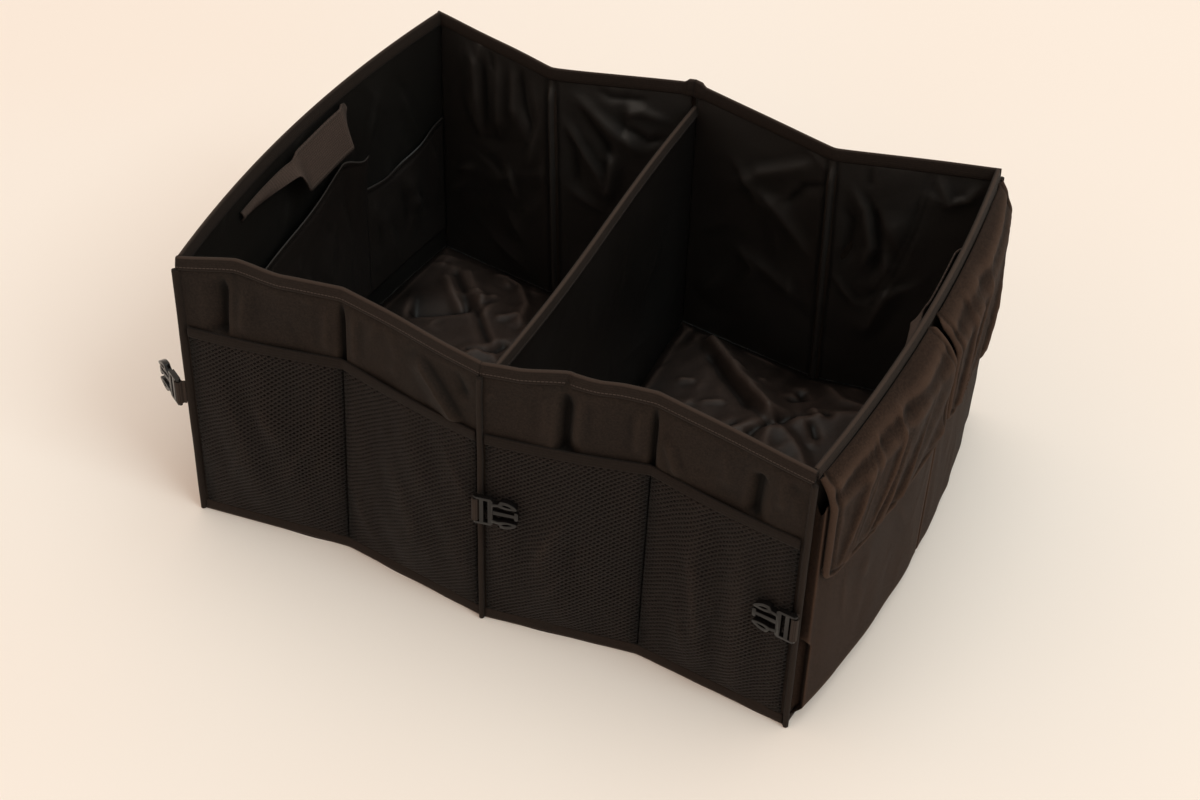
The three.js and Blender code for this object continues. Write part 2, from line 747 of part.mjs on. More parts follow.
// A spring arm: a slim neck, then a leaf with a drop-shaped eye
function springArm(side) {
  const root = plugCrossBar[1] - 1;
  const neckEnd = root + 6;
  const outline = new THREE.Shape();
  outline.moveTo(root, 7.5);
  outline.lineTo(neckEnd, 9);
  outline.quadraticCurveTo(neckEnd + 5, 6.5, plugArmEnd, 8.2);
  outline.quadraticCurveTo(plugArmEnd + 1.5, 10.5, plugArmEnd - 2, 12.4);
  outline.quadraticCurveTo(neckEnd + 8, plugHalfWidth + 1.5, neckEnd + 2, plugHalfWidth);
  outline.lineTo(neckEnd, 11.8);
  outline.lineTo(root, 11);
  const eye = new THREE.Path();
  eye.moveTo(neckEnd + 3, 11.8);
  eye.quadraticCurveTo(neckEnd + 7, 13.6, plugArmEnd - 4, 10.2);
  eye.quadraticCurveTo(neckEnd + 6, 9, neckEnd + 3, 11.8);
  outline.holes.push(eye);
  return plugPiece(outline, plugArmThickness, side);
}

function centerGuide() {
  const root = plugCrossBar[1] - 1;
  const outline = outlineOf([
    [root, -2.2], [plugGuideEnd - 3.5, -1.7], [plugGuideEnd - 3.5, -4.6], [plugGuideEnd - 1, -4.6],
    [plugGuideEnd, -3.4], [plugGuideEnd, 3.4], [plugGuideEnd - 1, 4.6], [plugGuideEnd - 3.5, 4.6],
    [plugGuideEnd - 3.5, 1.7], [root, 2.2],
  ]);
  return plugPiece(outline, plugGuideThickness);
}

function bucklePlug() {
  return joined([plugBase(), webbingBar(), springArm(1), springArm(-1), centerGuide()]);
}

// Each plug hangs on a tab that stands out from a seam's piping. Angles are degrees from +X.
const plugs = {
  left: {
    seam: [-halfWidth - cornerPipingOut, -halfDepth - cornerPipingOut],
    z: leftPlugHeight, tabAngle: 205, plugAngle: 148,
  },
  center: {
    seam: [frontSeamX, frontPipingY],
    z: centerPlugHeight, tabAngle: 270, plugAngle: 10.4,
  },
  right: {
    seam: [halfWidth + cornerPipingOut, -halfDepth - cornerPipingOut],
    z: rightPlugHeight, tabAngle: 270, plugAngle: 173,
  },
};

for (const [name, { seam, z, tabAngle, plugAngle }] of Object.entries(plugs)) {
  const tabTurn = THREE.MathUtils.degToRad(tabAngle);
  const x = seam[0] + tabReach * Math.cos(tabTurn);
  const y = seam[1] + tabReach * Math.sin(tabTurn);
  const tab = add(`webbing_tab_${name}`, webbingTab(), webbingCloth);
  tab.position.set(x, y, z);
  tab.rotation.z = tabTurn;
  const plug = add(`buckle_plug_${name}`, bucklePlug(), buckleMaterial);
  plug.position.set(x, y, z);
  plug.rotation.z = THREE.MathUtils.degToRad(plugAngle);
}

export default organizer;
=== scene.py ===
"""Looks of a collapsible trunk organizer: folded cloth walls, mesh pockets, satin floors and flapped pockets.

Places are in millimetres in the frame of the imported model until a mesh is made, and in metres after that.
"""

import logging
import math
from dataclasses import dataclass
from enum import Enum
from typing import Callable, Dict, List, Sequence, Tuple

import bpy
import numpy as np
from mathutils import Matrix, Vector


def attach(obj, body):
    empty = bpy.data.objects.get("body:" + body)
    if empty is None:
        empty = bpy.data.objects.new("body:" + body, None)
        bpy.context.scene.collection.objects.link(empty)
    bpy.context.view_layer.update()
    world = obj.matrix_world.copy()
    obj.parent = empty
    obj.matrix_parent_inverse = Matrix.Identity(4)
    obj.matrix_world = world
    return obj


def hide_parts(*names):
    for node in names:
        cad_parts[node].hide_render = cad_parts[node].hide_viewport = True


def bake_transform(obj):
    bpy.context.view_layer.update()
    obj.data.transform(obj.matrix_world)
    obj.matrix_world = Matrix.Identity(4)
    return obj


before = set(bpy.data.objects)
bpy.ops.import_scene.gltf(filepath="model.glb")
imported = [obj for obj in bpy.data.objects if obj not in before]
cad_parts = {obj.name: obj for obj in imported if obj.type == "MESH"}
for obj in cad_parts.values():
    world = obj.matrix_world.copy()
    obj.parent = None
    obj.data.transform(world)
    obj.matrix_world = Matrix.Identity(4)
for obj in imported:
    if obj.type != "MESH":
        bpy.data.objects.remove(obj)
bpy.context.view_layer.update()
log = logging.getLogger("organizer")
MM = 0.001
Array = np.ndarray
Pair = Tuple[float, float]
Color = Tuple[float, float, float]
Surface = Callable[[Array, Array], Array]
BODY = "organizer"
# Distance to each side that counts as the surroundings of a fold, in millimetres
HOLLOW_REACH = 7.0
# Width, length and area of each sheet as modelled, in metres, filled in by sheet()
FLAT: Dict[str, Tuple[float, float, float]] = {}


def lerp(a: float, b: float, t):
    """Value between a and b."""
    return a + (b - a) * t


def ease(t):
    """Smooth step of a share held between 0 and 1."""
    t = np.clip(t, 0.0, 1.0)
    return t * t * (3 - 2 * t)


def points(x, y, z) -> Array:
    """Stack coordinates into an array of points."""
    x, y, z = np.broadcast_arrays(x, y, z)
    return np.stack([x, y, z], axis=-1).astype(float)


# Cloth waves


@dataclass(frozen=True)
class Ripples:
    """A sum of waves with seeded directions, for the drape of cloth.

    sharpness 0 gives round waves, and higher values narrow the crests into folds.
    """

    seed: int
    count: int = 8
    shortest: float = 30.0
    longest: float = 120.0
    height: float = 1.0
    heading: float = 0.0
    spread: float = math.pi
    sharpness: float = 0.0

    def at(self, x: Array, y: Array) -> Array:
        """Height of the waves.

        Args:
            x: first coordinate, in millimetres.
            y: second coordinate, in millimetres.

        Returns:
            A height between about 0 and self.height.
        """
        draw = np.random.default_rng(self.seed)
        total = np.zeros(np.broadcast(x, y).shape)
        weight = 0.0
        for _ in range(self.count):
            turn = self.heading + draw.uniform(-self.spread, self.spread) / 2
            length = draw.uniform(self.shortest, self.longest)
            phase = draw.uniform(0, 2 * math.pi)
            drift = draw.uniform(0, 2 * math.pi)
            slow = 0.6 * np.sin((x * math.sin(turn) - y * math.cos(turn)) * 2.2 / self.longest + drift)
            angle = (x * math.cos(turn) + y * math.sin(turn)) * 2 * math.pi / length + phase + slow
            wave = 0.5 + 0.5 * np.sin(angle)
            if self.sharpness > 0:
                wave = wave ** (1 + self.sharpness)
            total += wave * length
            weight += length
        return self.height * total / weight


@dataclass(frozen=True)
class Crease:
    """A fold of cloth along a line, steeper on the left of its path where it leans."""

    path: Tuple[Tuple[float, float], ...]
    height: float
    width: float
    lean: float = 0.0
    fade: float = 0.3

    def at(self, x: Array, y: Array) -> Array:
        """Height of the fold at x, y, in millimetres."""
        nearest = np.full(x.shape, 1e9)
        side = np.zeros(x.shape)
        along = np.zeros(x.shape)
        lengths = [math.dist(a, b) for a, b in zip(self.path, self.path[1:])]
        passed = 0.0
        for (ax, ay), (bx, by), length in zip(self.path, self.path[1:], lengths):
            dx, dy = (bx - ax) / length, (by - ay) / length
            t = np.clip((x - ax) * dx + (y - ay) * dy, 0, length)
            ox, oy = x - ax - t * dx, y - ay - t * dy
            far = np.hypot(ox, oy)
            near = far < nearest
            nearest = np.where(near, far, nearest)
            side = np.where(near, np.sign(dx * oy - dy * ox), side)
            along = np.where(near, (passed + t) / sum(lengths), along)
            passed += length
        rounding, crown, power = 1.5, 1.2, 1.7
        across = nearest * (1 + self.lean * side)
        share = (np.sqrt(across ** 2 + rounding) - crown) / self.width
        ends = ease(np.minimum(along, 1 - along) / self.fade) if self.fade > 0 else 1.0
        return self.height * np.clip(1 - share, 0, 1) ** power * ends


@dataclass(frozen=True)
class Wrinkles:
    """Many short curved folds with seeded places, inside a rectangle."""

    seed: int
    count: int
    low: Tuple[float, float]
    high: Tuple[float, float]
    length: Tuple[float, float] = (40.0, 120.0)
    height: Tuple[float, float] = (1.5, 4.0)
    width: Tuple[float, float] = (9.0, 20.0)
    heading: float = math.pi / 2
    spread: float = 1.2

    def creases(self) -> List[Crease]:
        """Draw the folds."""
        most_bend, most_lean, fade = 0.35, 0.5, 0.5
        raised, sunk = 0.7, -0.7
        draw = np.random.default_rng(self.seed)
        made = []
        for _ in range(self.count):
            x, y = draw.uniform(self.low[0], self.high[0]), draw.uniform(self.low[1], self.high[1])
            turn = self.heading + draw.uniform(-self.spread, self.spread)
            reach = draw.uniform(*self.length)
            bend = draw.uniform(-most_bend, most_bend)
            path = []
            for share in (-0.5, -0.17, 0.17, 0.5):
                angle = turn + bend * share
                path.append((x + math.cos(angle) * reach * share, y + math.sin(angle) * reach * share))
            sign = 1 if draw.uniform() < raised else sunk
            made.append(Crease(tuple(path), sign * draw.uniform(*self.height), draw.uniform(*self.width),
                               draw.uniform(-most_lean, most_lean), fade))
        return made

    def at(self, x: Array, y: Array) -> Array:
        """Height of all the folds at x, y, in millimetres."""
        return folded(self.creases(), x, y)


def folded(creases: Sequence[Crease], x: Array, y: Array) -> Array:
    """Sum of the heights of folds."""
    total = np.zeros(np.broadcast(x, y).shape)
    for crease in creases:
        total = total + crease.at(x, y)
    return total


@dataclass(frozen=True)
class Crumple:
    """Flat facets with sharp creases between them, as satin lies after it has been folded."""

    seed: int
    folds: int = 9
    height: float = 4.0
    pitch: float = 90.0

    def at(self, x: Array, y: Array) -> Array:
        """Height of the facets at x, y, in millimetres."""
        bow, gain = 0.25, 1.6
        draw = np.random.default_rng(self.seed)
        total = np.zeros(np.broadcast(x, y).shape)
        for _ in range(self.folds):
            turn = draw.uniform(0, math.pi)
            pitch = self.pitch * draw.uniform(0.6, 1.7)
            along = (x * math.cos(turn) + y * math.sin(turn)) / pitch + draw.uniform(0, 1)
            bend = bow * np.sin((x * math.sin(turn) - y * math.cos(turn)) / pitch * 1.7 + draw.uniform(0, 6))
            fold = np.abs(((along + bend) % 1.0) * 2 - 1)
            total += fold * draw.uniform(0.4, 1.0)
        return self.height * total / self.folds * gain


def seam(far: Array) -> Array:
    """Relief of a sewn fold seam at a distance from its line: a low welt between two lines of stitches."""
    welt_height, welt_width = 0.9, 2.4
    stitch_depth, stitch_place, stitch_width = 1.6, 4.6, 1.7
    welt = welt_height * np.exp(-((far / welt_width) ** 2))
    return welt - stitch_depth * np.exp(-(((np.abs(far) - stitch_place) / stitch_width) ** 2))


# Walls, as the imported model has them


@dataclass(frozen=True)
class Dent:
    """A place where the cloth of a long wall gives near its rim."""

    x: float
    reach: float
    depth: float
    start: float = 215.0


@dataclass(frozen=True)
class Body:
    """The driving sizes of the organizer's body, in millimetres."""

    width: float = 600.0
    depth: float = 476.0
    height: float = 300.0
    wall: float = 4.0
    gap: float = 0.3
    tape: float = 1.2
    rim_tape: float = 13.0
    divider_front: Tuple[float, float] = (12.0, 293.0)
    divider_back: Tuple[float, float] = (-10.0, 276.0)
    piping: float = 2.5

    @property
    def half_width(self) -> float:
        """Half of the width."""
        return self.width / 2

    @property
    def half_depth(self) -> float:
        """Half of the depth."""
        return self.depth / 2


SIZES = Body()


@dataclass(frozen=True)
class LongWall:
    """Half of the front or back wall: station 0 at the corner, 1 at the fold, 2 at the centre seam."""

    side: int
    corner: float
    seam_x: float
    seam_bulge: float
    fold_top: float
    fold_bottom: float
    dents: Tuple[Dent, ...] = ()
    crease: float = 0.018

    @property
    def middle(self) -> float:
        """Place of the middle fold along the wall."""
        return math.copysign(SIZES.width / 4, self.corner)

    def plan(self, s: Array) -> Array:
        """Place along X of a station."""
        return np.where(s < 1, lerp(self.corner, self.middle, s), lerp(self.middle, self.seam_x, s - 1))

    def face(self, s: Array, z: Array) -> Array:
        """Distance of the outer face from the middle plane, before its side is applied."""
        near = 1 + self.crease - np.sqrt((s - 1) ** 2 + self.crease ** 2)
        inward = near * lerp(self.fold_bottom, self.fold_top, z / SIZES.height)
        x = self.plan(s)
        for dent in self.dents:
            share = np.clip(1 - np.abs(x - dent.x) / dent.reach, 0, 1)
            up = ease((z - dent.start) / (SIZES.height - dent.start))
            inward = inward + dent.depth * (0.65 * share + 0.35 * ease(share)) * up
        return SIZES.half_depth - inward + np.clip(s - 1, 0, None) * self.seam_bulge

    def place(self, s: Array, out: Array, z: Array) -> Array:
        """Point at a station, an outward distance and a height."""
        return points(self.plan(s), self.side * (self.face(s, z) + out), z)

    @property
    def span(self) -> float:
        """Length of the wall from the corner to the seam."""
        return abs(self.middle - self.corner) + abs(self.seam_x - self.middle)

    @property
    def mirrored(self) -> bool:
        """True where a sweep from the corner to the seam would have its faces turned in."""
        return (self.side < 0) == (self.corner < 0)


@dataclass(frozen=True)
class EndWall:
    """A bowed end wall, with y as its station."""

    side: int
    bow_top: float
    bow_bottom: float

    def face(self, y: Array, z: Array) -> Array:
        """Distance of the outer face from the middle plane."""
        bow = lerp(self.bow_bottom, self.bow_top, z / SIZES.height)
        return SIZES.half_width + bow * (1 - (y / SIZES.half_depth) ** 2)

    def place(self, y: Array, out: Array, z: Array) -> Array:
        """Point at a station, an outward distance and a height."""
        return points(self.side * (self.face(y, z) + out), y, z)


FRONT_LEFT = LongWall(-1, -300.0, 4.0, 5.0, 29.0, 17.0, (Dent(-253.0, 46.0, 11.0),))
FRONT_RIGHT = LongWall(-1, 300.0, 4.0, 5.0, 29.0, 17.0, (Dent(70.0, 34.0, 7.0), Dent(120.0, 30.0, 2.0)))
BACK_LEFT = LongWall(1, -300.0, -12.0, 0.0, 42.0, 22.0)
BACK_RIGHT = LongWall(1, 300.0, -12.0, 0.0, 42.0, 22.0)
LEFT_END = EndWall(-1, 21.0, 15.0)
RIGHT_END = EndWall(1, 14.0, 11.0)
LONG_WALLS = (
    ("front_left", FRONT_LEFT),
    ("front_right", FRONT_RIGHT),
    ("back_left", BACK_LEFT),
    ("back_right", BACK_RIGHT),
)
END_WALLS = (("left_end", LEFT_END), ("right_end", RIGHT_END))


# Folds that show in the photograph, along a wall and up it, or across a floor


FRONT_LEFT_FOLDS = (
    Crease(((-264.0, 300.0), (-262.0, 218.0)), -11.0, 11.0, 0.4, 0.12),
    Crease(((-242.0, 290.0), (-243.0, 226.0)), 5.0, 15.0),
    Crease(((-163.0, 292.0), (-164.0, 222.0)), 3.4, 11.0),
    Crease(((-137.0, 292.0), (-136.0, 222.0)), 3.2, 10.0),
    Crease(((-66.0, 278.0), (-44.0, 254.0), (-16.0, 220.0)), 8.0, 11.0, 0.5, 0.2),
    Crease(((-24.0, 286.0), (-10.0, 250.0)), -4.0, 12.0),
)
FRONT_RIGHT_FOLDS = (
    Crease(((74.0, 304.0), (73.0, 216.0)), -12.0, 9.0, -0.5, 0.05),
    Crease(((86.0, 298.0), (85.0, 222.0)), 5.5, 10.0),
    Crease(((58.0, 292.0), (60.0, 226.0)), 3.0, 12.0),
    Crease(((138.0, 294.0), (137.0, 226.0)), 4.0, 9.0),
    Crease(((161.0, 262.0), (178.0, 224.0)), 4.5, 10.0),
    Crease(((253.0, 274.0), (250.0, 218.0)), -9.0, 11.0, 0.0, 0.2),
    Crease(((216.0, 284.0), (226.0, 236.0)), 3.0, 20.0),
    Crease(((272.0, 290.0), (276.0, 240.0)), 3.0, 12.0),
)
BACK_LEFT_FOLDS = (
    Crease(((-267.0, 288.0), (-250.0, 262.0), (-247.0, 200.0)), 5.0, 13.0, 0.4),
    Crease(((-237.0, 282.0), (-237.0, 176.0)), -4.0, 8.0),
    Crease(((-228.0, 289.0), (-225.0, 262.0)), -3.0, 6.0),
    Crease(((-219.0, 286.0), (-219.0, 180.0)), 4.5, 13.0),
    Crease(((-189.0, 289.0), (-184.0, 236.0), (-175.0, 205.0)), -4.5, 7.0),
    Crease(((-199.0, 288.0), (-198.0, 210.0)), 4.5, 9.0),
    Crease(((-177.0, 291.0), (-165.0, 229.0), (-186.0, 150.0)), 5.0, 11.0, -0.4),
    Crease(((-136.0, 282.0), (-96.0, 243.0), (-52.0, 206.0)), 6.0, 16.0, 0.3),
    Crease(((-127.0, 268.0), (-97.0, 220.0), (-84.0, 186.0)), -4.5, 11.0),
    Crease(((-144.0, 254.0), (-120.0, 210.0), (-100.0, 178.0), (-90.0, 135.0)), 6.0, 13.0, 0.4),
    Crease(((-140.0, 236.0), (-126.0, 203.0), (-124.0, 150.0)), -4.0, 9.0),
    Crease(((-88.0, 216.0), (-92.0, 140.0)), 5.0, 9.0, -0.3),
    Crease(((-110.0, 288.0), (-91.0, 274.0), (-50.0, 276.0)), -4.0, 9.0),
    Crease(((-84.0, 256.0), (-60.0, 262.0), (-30.0, 252.0)), 4.0, 10.0),
    Crease(((-80.0, 246.0), (-53.0, 226.0), (-30.0, 236.0)), -3.5, 10.0),
)
BACK_RIGHT_FOLDS = (
    Crease(((158.0, 262.0), (122.0, 243.0), (98.0, 205.0)), -5.0, 10.0, -0.3),
    Crease(((30.0, 196.0), (70.0, 236.0), (104.0, 256.0), (149.0, 288.0)), 5.5, 16.0, 0.3),
    Crease(((60.0, 222.0), (100.0, 196.0), (148.0, 150.0)), 6.0, 26.0, 0.3),
    Crease(((118.0, 292.0), (140.0, 276.0), (150.0, 270.0)), 3.0, 7.0),
    Crease(((160.0, 246.0), (174.0, 218.0), (173.0, 184.0), (160.0, 146.0)), -4.5, 9.0),
    Crease(((163.0, 272.0), (186.0, 236.0), (194.0, 191.0), (184.0, 150.0)), 6.0, 10.0, 0.2),
    Crease(((177.0, 262.0), (196.0, 228.0), (204.0, 186.0), (194.0, 140.0)), -4.0, 8.0),
    Crease(((158.0, 152.0), (172.0, 132.0), (190.0, 108.0)), 4.0, 7.0),
    Crease(((220.0, 160.0), (210.0, 120.0), (192.0, 66.0)), 6.0, 22.0, 0.3),
    Crease(((244.0, 290.0), (262.0, 256.0), (278.0, 262.0), (294.0, 289.0)), 5.0, 9.0),
    Crease(((184.0, 290.0), (187.0, 258.0)), -3.0, 7.0),
    Crease(((240.0, 292.0), (228.0, 216.0), (214.0, 160.0), (192.0, 116.0)), -1.2, 3.0, 0.0, 0.05),
    Crease(((246.0, 292.0), (234.0, 216.0), (220.0, 160.0), (197.0, 113.0)), -1.2, 3.0, 0.0, 0.05),
)
FLOOR_RIGHT_FOLDS = (
    Crease(((30.0, 203.0), (61.0, 175.0), (95.0, 142.0), (121.0, 120.0), (152.0, 93.0)),
           17.0, 16.0, -0.45, 0.10),
    Crease(((40.0, 186.0), (84.0, 140.0), (126.0, 98.0)), -6.0, 16.0, 0.0, 0.2),
    Crease(((104.0, 56.0), (122.0, 80.0)), -4.0, 9.0),
    Crease(((132.0, 60.0), (152.0, 94.0)), -6.5, 9.0, 0.2, 0.2),
    Crease(((151.0, 93.0), (168.0, 116.0), (204.0, 136.0)), -6.0, 11.0, 0.0, 0.15),
    Crease(((152.0, 92.0), (190.0, 64.0), (214.0, 30.0)), 7.0, 17.0, 0.2, 0.2),
    Crease(((148.0, 174.0), (159.0, 155.0), (142.0, 140.0)), -5.0, 9.0),
    Crease(((182.0, 114.0), (200.0, 92.0)), -5.0, 8.0),
    Crease(((172.0, 138.0), (194.0, 118.0)), 5.0, 9.0),
    Crease(((30.0, 128.0), (52.0, 133.0)), 3.0, 6.0),
    Crease(((66.0, 98.0), (96.0, 108.0)), 3.0, 6.0),
    Crease(((150.0, 92.0), (156.0, 62.0), (170.0, 10.0), (150.0, -80.0)), 7.0, 20.0, -0.2, 0.1),
    Crease(((160.0, 200.0), (196.0, 170.0), (240.0, 166.0)), 5.0, 14.0),
    Crease(((152.0, 90.0), (90.0, 30.0), (30.0, -40.0)), 8.0, 22.0, 0.3, 0.12),
    Crease(((150.0, -90.0), (230.0, -30.0), (290.0, 40.0)), 8.0, 22.0, -0.3, 0.12),
    Crease(((150.0, -90.0), (90.0, -140.0), (30.0, -200.0)), 9.0, 22.0, 0.3, 0.12),
    Crease(((150.0, -90.0), (210.0, -140.0), (280.0, -205.0)), 8.0, 22.0, -0.2, 0.12),
    Crease(((156.0, 98.0), (220.0, 150.0), (280.0, 206.0)), 7.0, 20.0, 0.2, 0.12),
)
FLOOR_LEFT_FOLDS = (
    Crease(((-262.0, 190.0), (-222.0, 144.0), (-203.0, 128.0), (-179.0, 99.0), (-152.0, 68.0)),
           -6.0, 8.0, 0.3, 0.1),
    Crease(((-268.0, 176.0), (-230.0, 134.0), (-210.0, 118.0)), 4.0, 9.0, 0.0, 0.2),
    Crease(((-250.0, 196.0), (-214.0, 152.0), (-196.0, 130.0)), 4.0, 12.0, 0.0, 0.2),
    Crease(((-272.0, 100.0), (-216.0, 122.0), (-206.0, 134.0)), -13.0, 24.0, -0.3, 0.15),
    Crease(((-226.0, 204.0), (-181.0, 189.0), (-158.0, 158.0), (-142.0, 106.0)), 7.0, 13.0, 0.3, 0.15),
    Crease(((-176.0, 114.0), (-150.0, 134.0)), 4.0, 8.0),
    Crease(((-220.0, 154.0), (-200.0, 149.0)), 2.5, 5.0),
    Crease(((-212.0, 143.0), (-196.0, 141.0)), 2.5, 5.0),
    Crease(((-190.0, 162.0), (-205.0, 132.0)), 3.5, 7.0),
    Crease(((-204.0, 196.0), (-192.0, 216.0)), 3.0, 7.0),
    Crease(((-176.0, 48.0), (-149.0, 60.0), (-141.0, 86.0)), -6.0, 10.0, 0.0, 0.15),
    Crease(((-152.0, 66.0), (-110.0, 10.0), (-60.0, -60.0), (-30.0, -110.0)), 8.0, 22.0, 0.3, 0.1),
    Crease(((-152.0, 66.0), (-190.0, -10.0), (-150.0, -100.0)), 7.0, 22.0, 0.2, 0.1),
    Crease(((-150.0, -92.0), (-220.0, -150.0), (-280.0, -206.0)), 8.0, 22.0, 0.2, 0.12),
    Crease(((-150.0, -92.0), (-90.0, -150.0), (-30.0, -205.0)), 8.0, 22.0, -0.3, 0.12),
    Crease(((-142.0, 100.0), (-80.0, 150.0), (-24.0, 204.0)), 8.0, 20.0, -0.2, 0.12),
)


# Meshes


def link(
    name: str, vertices: Array, faces: Sequence[Sequence[int]], uv: Array, body: str
) -> bpy.types.Object:
    """Make an object from points in millimetres.

    Args:
        name: the piece's name.
        vertices: points in millimetres.
        faces: vertex numbers of each face.
        uv: one pair for each vertex, in metres along the cloth.
        body: the body of the model that the piece rides on, or nothing.

    Returns:
        The new object, smooth shaded.
    """
    mesh = bpy.data.meshes.new(name)
    mesh.from_pydata((vertices * MM).tolist(), [], [list(map(int, f)) for f in faces])
    layer = mesh.uv_layers.new(name="UVMap")
    corner = np.zeros(len(mesh.loops), dtype=np.int32)
    mesh.loops.foreach_get("vertex_index", corner)
    layer.data.foreach_set("uv", uv[corner].astype(np.float32).ravel())
    mesh.shade_smooth()
    piece = bpy.data.objects.new(name, mesh)
    bpy.context.scene.collection.objects.link(piece)
    if body:
        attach(piece, body)
    return piece


def grid_normals(grid: Array) -> Array:
    """Unit normals of a grid of points."""
    across = np.gradient(grid, axis=0)
    along = np.gradient(grid, axis=1)
    normal = np.cross(across, along)
    length = np.linalg.norm(normal, axis=-1, keepdims=True)
    return normal / np.maximum(length, 1e-9)


def hollows(grid: Array, normal: Array, reach: int) -> Array:
    """Depth of each point of a grid below the mean of its surroundings, in millimetres.

    Args:
        grid: points in millimetres.
        normal: unit normals of the grid's visible face.
        reach: number of grid steps to each side that count as surroundings.

    Returns:
        A depth for each point, above nothing in a fold and below nothing on a crest.
    """
    mean = grid
    steps = 2 * reach + 1
    for axis in (0, 1):
        pad = [(reach, reach) if axis == number else (0, 0) for number in range(3)]
        wide = np.pad(mean, pad, mode="edge")
        count = mean.shape[axis]
        mean = sum(np.take(wide, np.arange(k, k + count), axis=axis) for k in range(steps)) / steps
    return np.sum((mean - grid) * normal, axis=-1)


def sheet(
    name: str,
    surface: Surface,
    size: Tuple[float, float],
    step: float,
    thickness,
    body: str = BODY,
    turn: bool = False,
) -> bpy.types.Object:
    """Make a closed thin sheet of cloth from a surface of two shares, and note its flat size.

    Args:
        name: the piece's name.
        surface: gives a point in millimetres for shares u and v between 0 and 1.
        size: cloth length along u and v, in millimetres.
        step: grid step, in millimetres.
        thickness: thickness of the cloth behind the surface, or a function of u and v that gives it.
        body: the body that it rides on.
        turn: true where u and v run so that the surface's normal points in.

    Returns:
        The new object.
    """
    columns = max(2, round(size[0] / step)) + 1
    rows = max(2, round(size[1] / step)) + 1
    u, v = np.meshgrid(np.linspace(0, 1, columns), np.linspace(0, 1, rows), indexing="ij")
    front = surface(u, v)
    normal = grid_normals(front) * (-1 if turn else 1)
    thick = thickness(u, v)[..., None] if callable(thickness) else thickness
    back = front - normal * thick
    across = np.linalg.norm(np.diff(front, axis=0), axis=-1)
    along = np.linalg.norm(np.diff(front, axis=1), axis=-1)
    sides = np.cross(front[1:, :-1] - front[:-1, :-1], front[:-1, 1:] - front[:-1, :-1])
    area = float(np.linalg.norm(sides, axis=-1).sum())
    FLAT[name] = (float(across.sum(axis=0).mean()) * MM, float(along.sum(axis=1).mean()) * MM, area * MM * MM)
    number = np.arange(columns * rows).reshape(columns, rows)
    a, b = number[:-1, :-1].ravel(), number[1:, :-1].ravel()
    c, d = number[1:, 1:].ravel(), number[:-1, 1:].ravel()
    quads = np.stack([a, b, c, d], axis=1)
    offset = columns * rows
    other = quads[:, ::-1] + offset
    rim = np.concatenate([number[:-1, 0], number[-1, :-1], number[:0:-1, -1], number[0, :0:-1]])
    after = np.roll(rim, -1)
    edge = np.stack([after, rim, rim + offset, after + offset], axis=1)
    faces = np.concatenate([quads, other, edge])
    if turn:
        faces = faces[:, ::-1]
    uv = np.stack([u.ravel() * size[0] * MM, v.ravel() * size[1] * MM], axis=1)
    vertices = np.concatenate([front.reshape(-1, 3), back.reshape(-1, 3)])
    piece = link(name, vertices, faces, np.concatenate([uv, uv]), body)
    # Depth below the surroundings, which the materials turn into painted shade in folds and painted highlight
    # on crests
    depth = hollows(front, normal, max(2, round(HOLLOW_REACH / step))).ravel()
    layer = piece.data.attributes.new("hollow", "FLOAT", "POINT")
    layer.data.foreach_set("value", np.concatenate([depth, -depth]).astype(np.float32))
    return piece


def tape(
    name: str,
    section: Sequence[Tuple[float, float]],
    place: Callable[[Array, Array, Array], Array],
    start: float,
    end: float,
    steps: int,
    length: float,
    body: str = BODY,
    turn: bool = False,
) -> bpy.types.Object:
    """Sweep a closed section of outward and upward distances along a wall.

    Args:
        name: the piece's name.
        section: the section's points, in millimetres, in order round it.
        place: gives a point for a station, an outward distance and a height.
        start: first station.
        end: last station.
        steps: number of steps between them.
        length: cloth length along the sweep, in millimetres.
        body: the body that it rides on.
        turn: true where the faces would point in.

    Returns:
        The new object. Its UV runs along the tape and round its section.
    """
    outline = np.array(section, float)
    count = len(outline)
    stations = np.linspace(start, end, steps + 1)
    s, k = np.meshgrid(stations, np.arange(count), indexing="ij")
    ring = place(s, outline[k.astype(int), 0], outline[k.astype(int), 1])
    vertices = ring.reshape(-1, 3)
    number = np.arange((steps + 1) * count).reshape(steps + 1, count)
    nxt = np.roll(number, -1, axis=1)
    a, b = number[:-1].ravel(), number[1:].ravel()
    c, d = nxt[1:].ravel(), nxt[:-1].ravel()
    faces: List[Sequence[int]] = np.stack([a, b, c, d], axis=1).tolist()
    faces.append(number[0, :].tolist())
    faces.append(number[-1, ::-1].tolist())
    if not turn:
        faces = [face[::-1] for face in faces]
    around = np.concatenate([[0], np.cumsum(np.linalg.norm(np.diff(outline, axis=0), axis=1))])
    share = (s - start) / (end - start)
    uv = np.stack([share.ravel() * length * MM, around[k.astype(int)].ravel() * MM], axis=1)
    return link(name, vertices, faces, uv, body)


